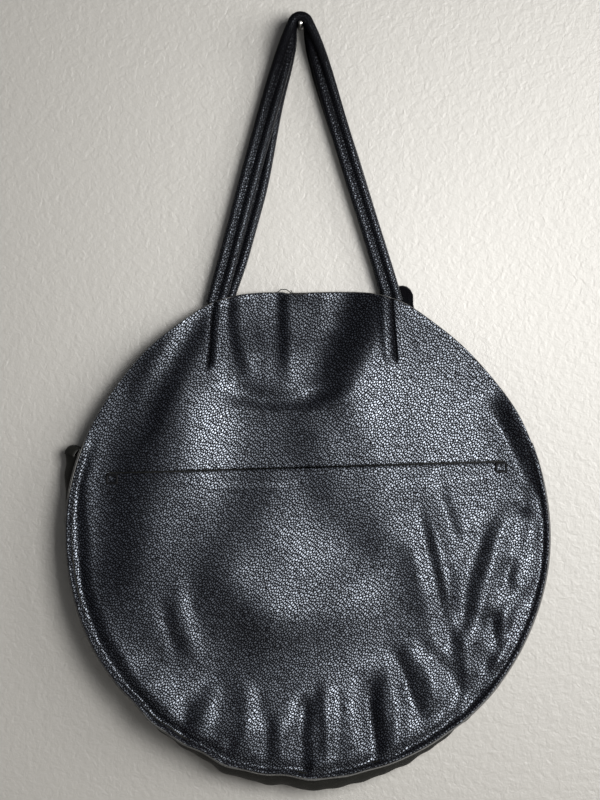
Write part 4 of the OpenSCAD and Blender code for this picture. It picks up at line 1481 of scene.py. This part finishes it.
def wall_paint(name):
    """Semi-gloss paint over plaster with a fine orange-peel grain and a painted pool of light, seen from
    its front only.
    """
    s = Shader(name)
    place = s.object_place()
    place_x, _, place_z = s.parts(place)
    away_x, away_z = place_x - LIGHT_POOL_AT[0], place_z - LIGHT_POOL_AT[1]
    away = (away_x * away_x + away_z * away_z + LIGHT_POOL_ROUND ** 2) ** 0.5
    # Painted light: the pool of light on the wall
    painted_light_pool = (away / -LIGHT_POOL_REACH).exponent()
    peel = s.noise(place, 170.0, 2.0, 0.55, 0.6) + 0.35 * s.noise(place, 400.0, 1.0)
    s.set(base_color=s.mix(painted_light_pool, WALL_POOL_DIM, WALL_POOL_LIT), roughness=0.42, specular_ior_level=0.5,
          normal=s.bump(peel, 0.0008, 0.5))
    facing_away = s.add("ShaderNodeNewGeometry").outputs["Backfacing"]
    clear = s.add("ShaderNodeBsdfTransparent")
    layers = {0: facing_away, 1: s.surface.outputs[0], 2: clear.outputs[0]}
    seen = s.add("ShaderNodeMixShader", inputs=layers)
    s.links.new(seen.outputs[0], s.output.inputs["Surface"])
    return s


def stage_plane(name, corners, shader):
    mesh = bpy.data.meshes.new(name)
    mesh.from_pydata(corners, [], [(0, 1, 2, 3)])
    mesh.materials.append(shader.material)
    obj = new_object(name, mesh)
    return obj


WALL_Y = (BACK_OUTER_Y + 0.3) * MM
WALL_TOP, FLOOR_Z = 3.0, -1.7
ROOM_X, ROOM_Y = 4.0, 6.0
wall_corners = [(-ROOM_X, WALL_Y, FLOOR_Z), (ROOM_X, WALL_Y, FLOOR_Z), (ROOM_X, WALL_Y, WALL_TOP),
                (-ROOM_X, WALL_Y, WALL_TOP)]
wall = stage_plane("wall", wall_corners, wall_paint("wall_paint"))
# The light behind the wall reaches the back panel, which other views show through the wall
wall.visible_shadow = False
floor_corners = [(-ROOM_X, -ROOM_Y, FLOOR_Z), (ROOM_X, -ROOM_Y, FLOOR_Z), (ROOM_X, ROOM_Y, FLOOR_Z),
                 (-ROOM_X, ROOM_Y, FLOOR_Z)]
stage_plane("floor", floor_corners, plain_paint("floor_paint", (0.40, 0.39, 0.37)))

# The nail that the straps hang on
NAIL_R = 1.7
nail_t = np.radians(np.arange(16) * 22.5)
nail_y = np.array([WALL_Y / MM, -26.0, -26.4, -26.4])
nail_r = np.array([1.0, 1.0, 0.8, 0.02]) * NAIL_R
nail_rings = np.stack([nail_r[:, None] * np.cos(nail_t), nail_y[:, None] + 0 * nail_t,
                       -NAIL_R - 0.4 + nail_r[:, None] * np.sin(nail_t)], -1)
Sheets().grid(nail_rings, closed_cols=True, flip=True).piece("wall_nail", [METAL])

world = bpy.data.worlds.new("soft_room")
bpy.context.scene.world = world
world.use_nodes = True
background = world.node_tree.nodes["Background"]
background.inputs["Color"].default_value = (0.93, 0.95, 1.0, 1)
background.inputs["Strength"].default_value = 0.08


def area_light(name, at, aim, size, power, colour):
    """A square soft light, size metres wide, at a place, facing the aim."""
    lamp = bpy.data.lights.new(name, "AREA")
    lamp.energy, lamp.size, lamp.color = power, size, colour
    obj = new_object(name, lamp)
    obj.location = at
    direction = Vector(aim) - Vector(at)
    obj.rotation_euler = direction.to_track_quat("-Z", "Y").to_euler()


BAG_MIDDLE = (0, 0, -0.4)
area_light("window_light", (0.95, -2.3, -0.12), BAG_MIDDLE, 1.0, 86.0, (1.0, 0.985, 0.96))
area_light("side_window", (2.1, -1.4, 0.00), (0.1, 0, -0.35), 1.4, 52.0, (1.0, 0.99, 0.97))
area_light("back_light", (1.6, 1.8, 0.0), BAG_MIDDLE, 1.4, 60.0, (1.0, 0.99, 0.97))
area_light("front_fill", (0.1, -2.6, -0.25), BAG_MIDDLE, 1.4, 6.0, (0.96, 0.98, 1.0))

bpy.context.scene.view_settings.view_transform = "Standard"
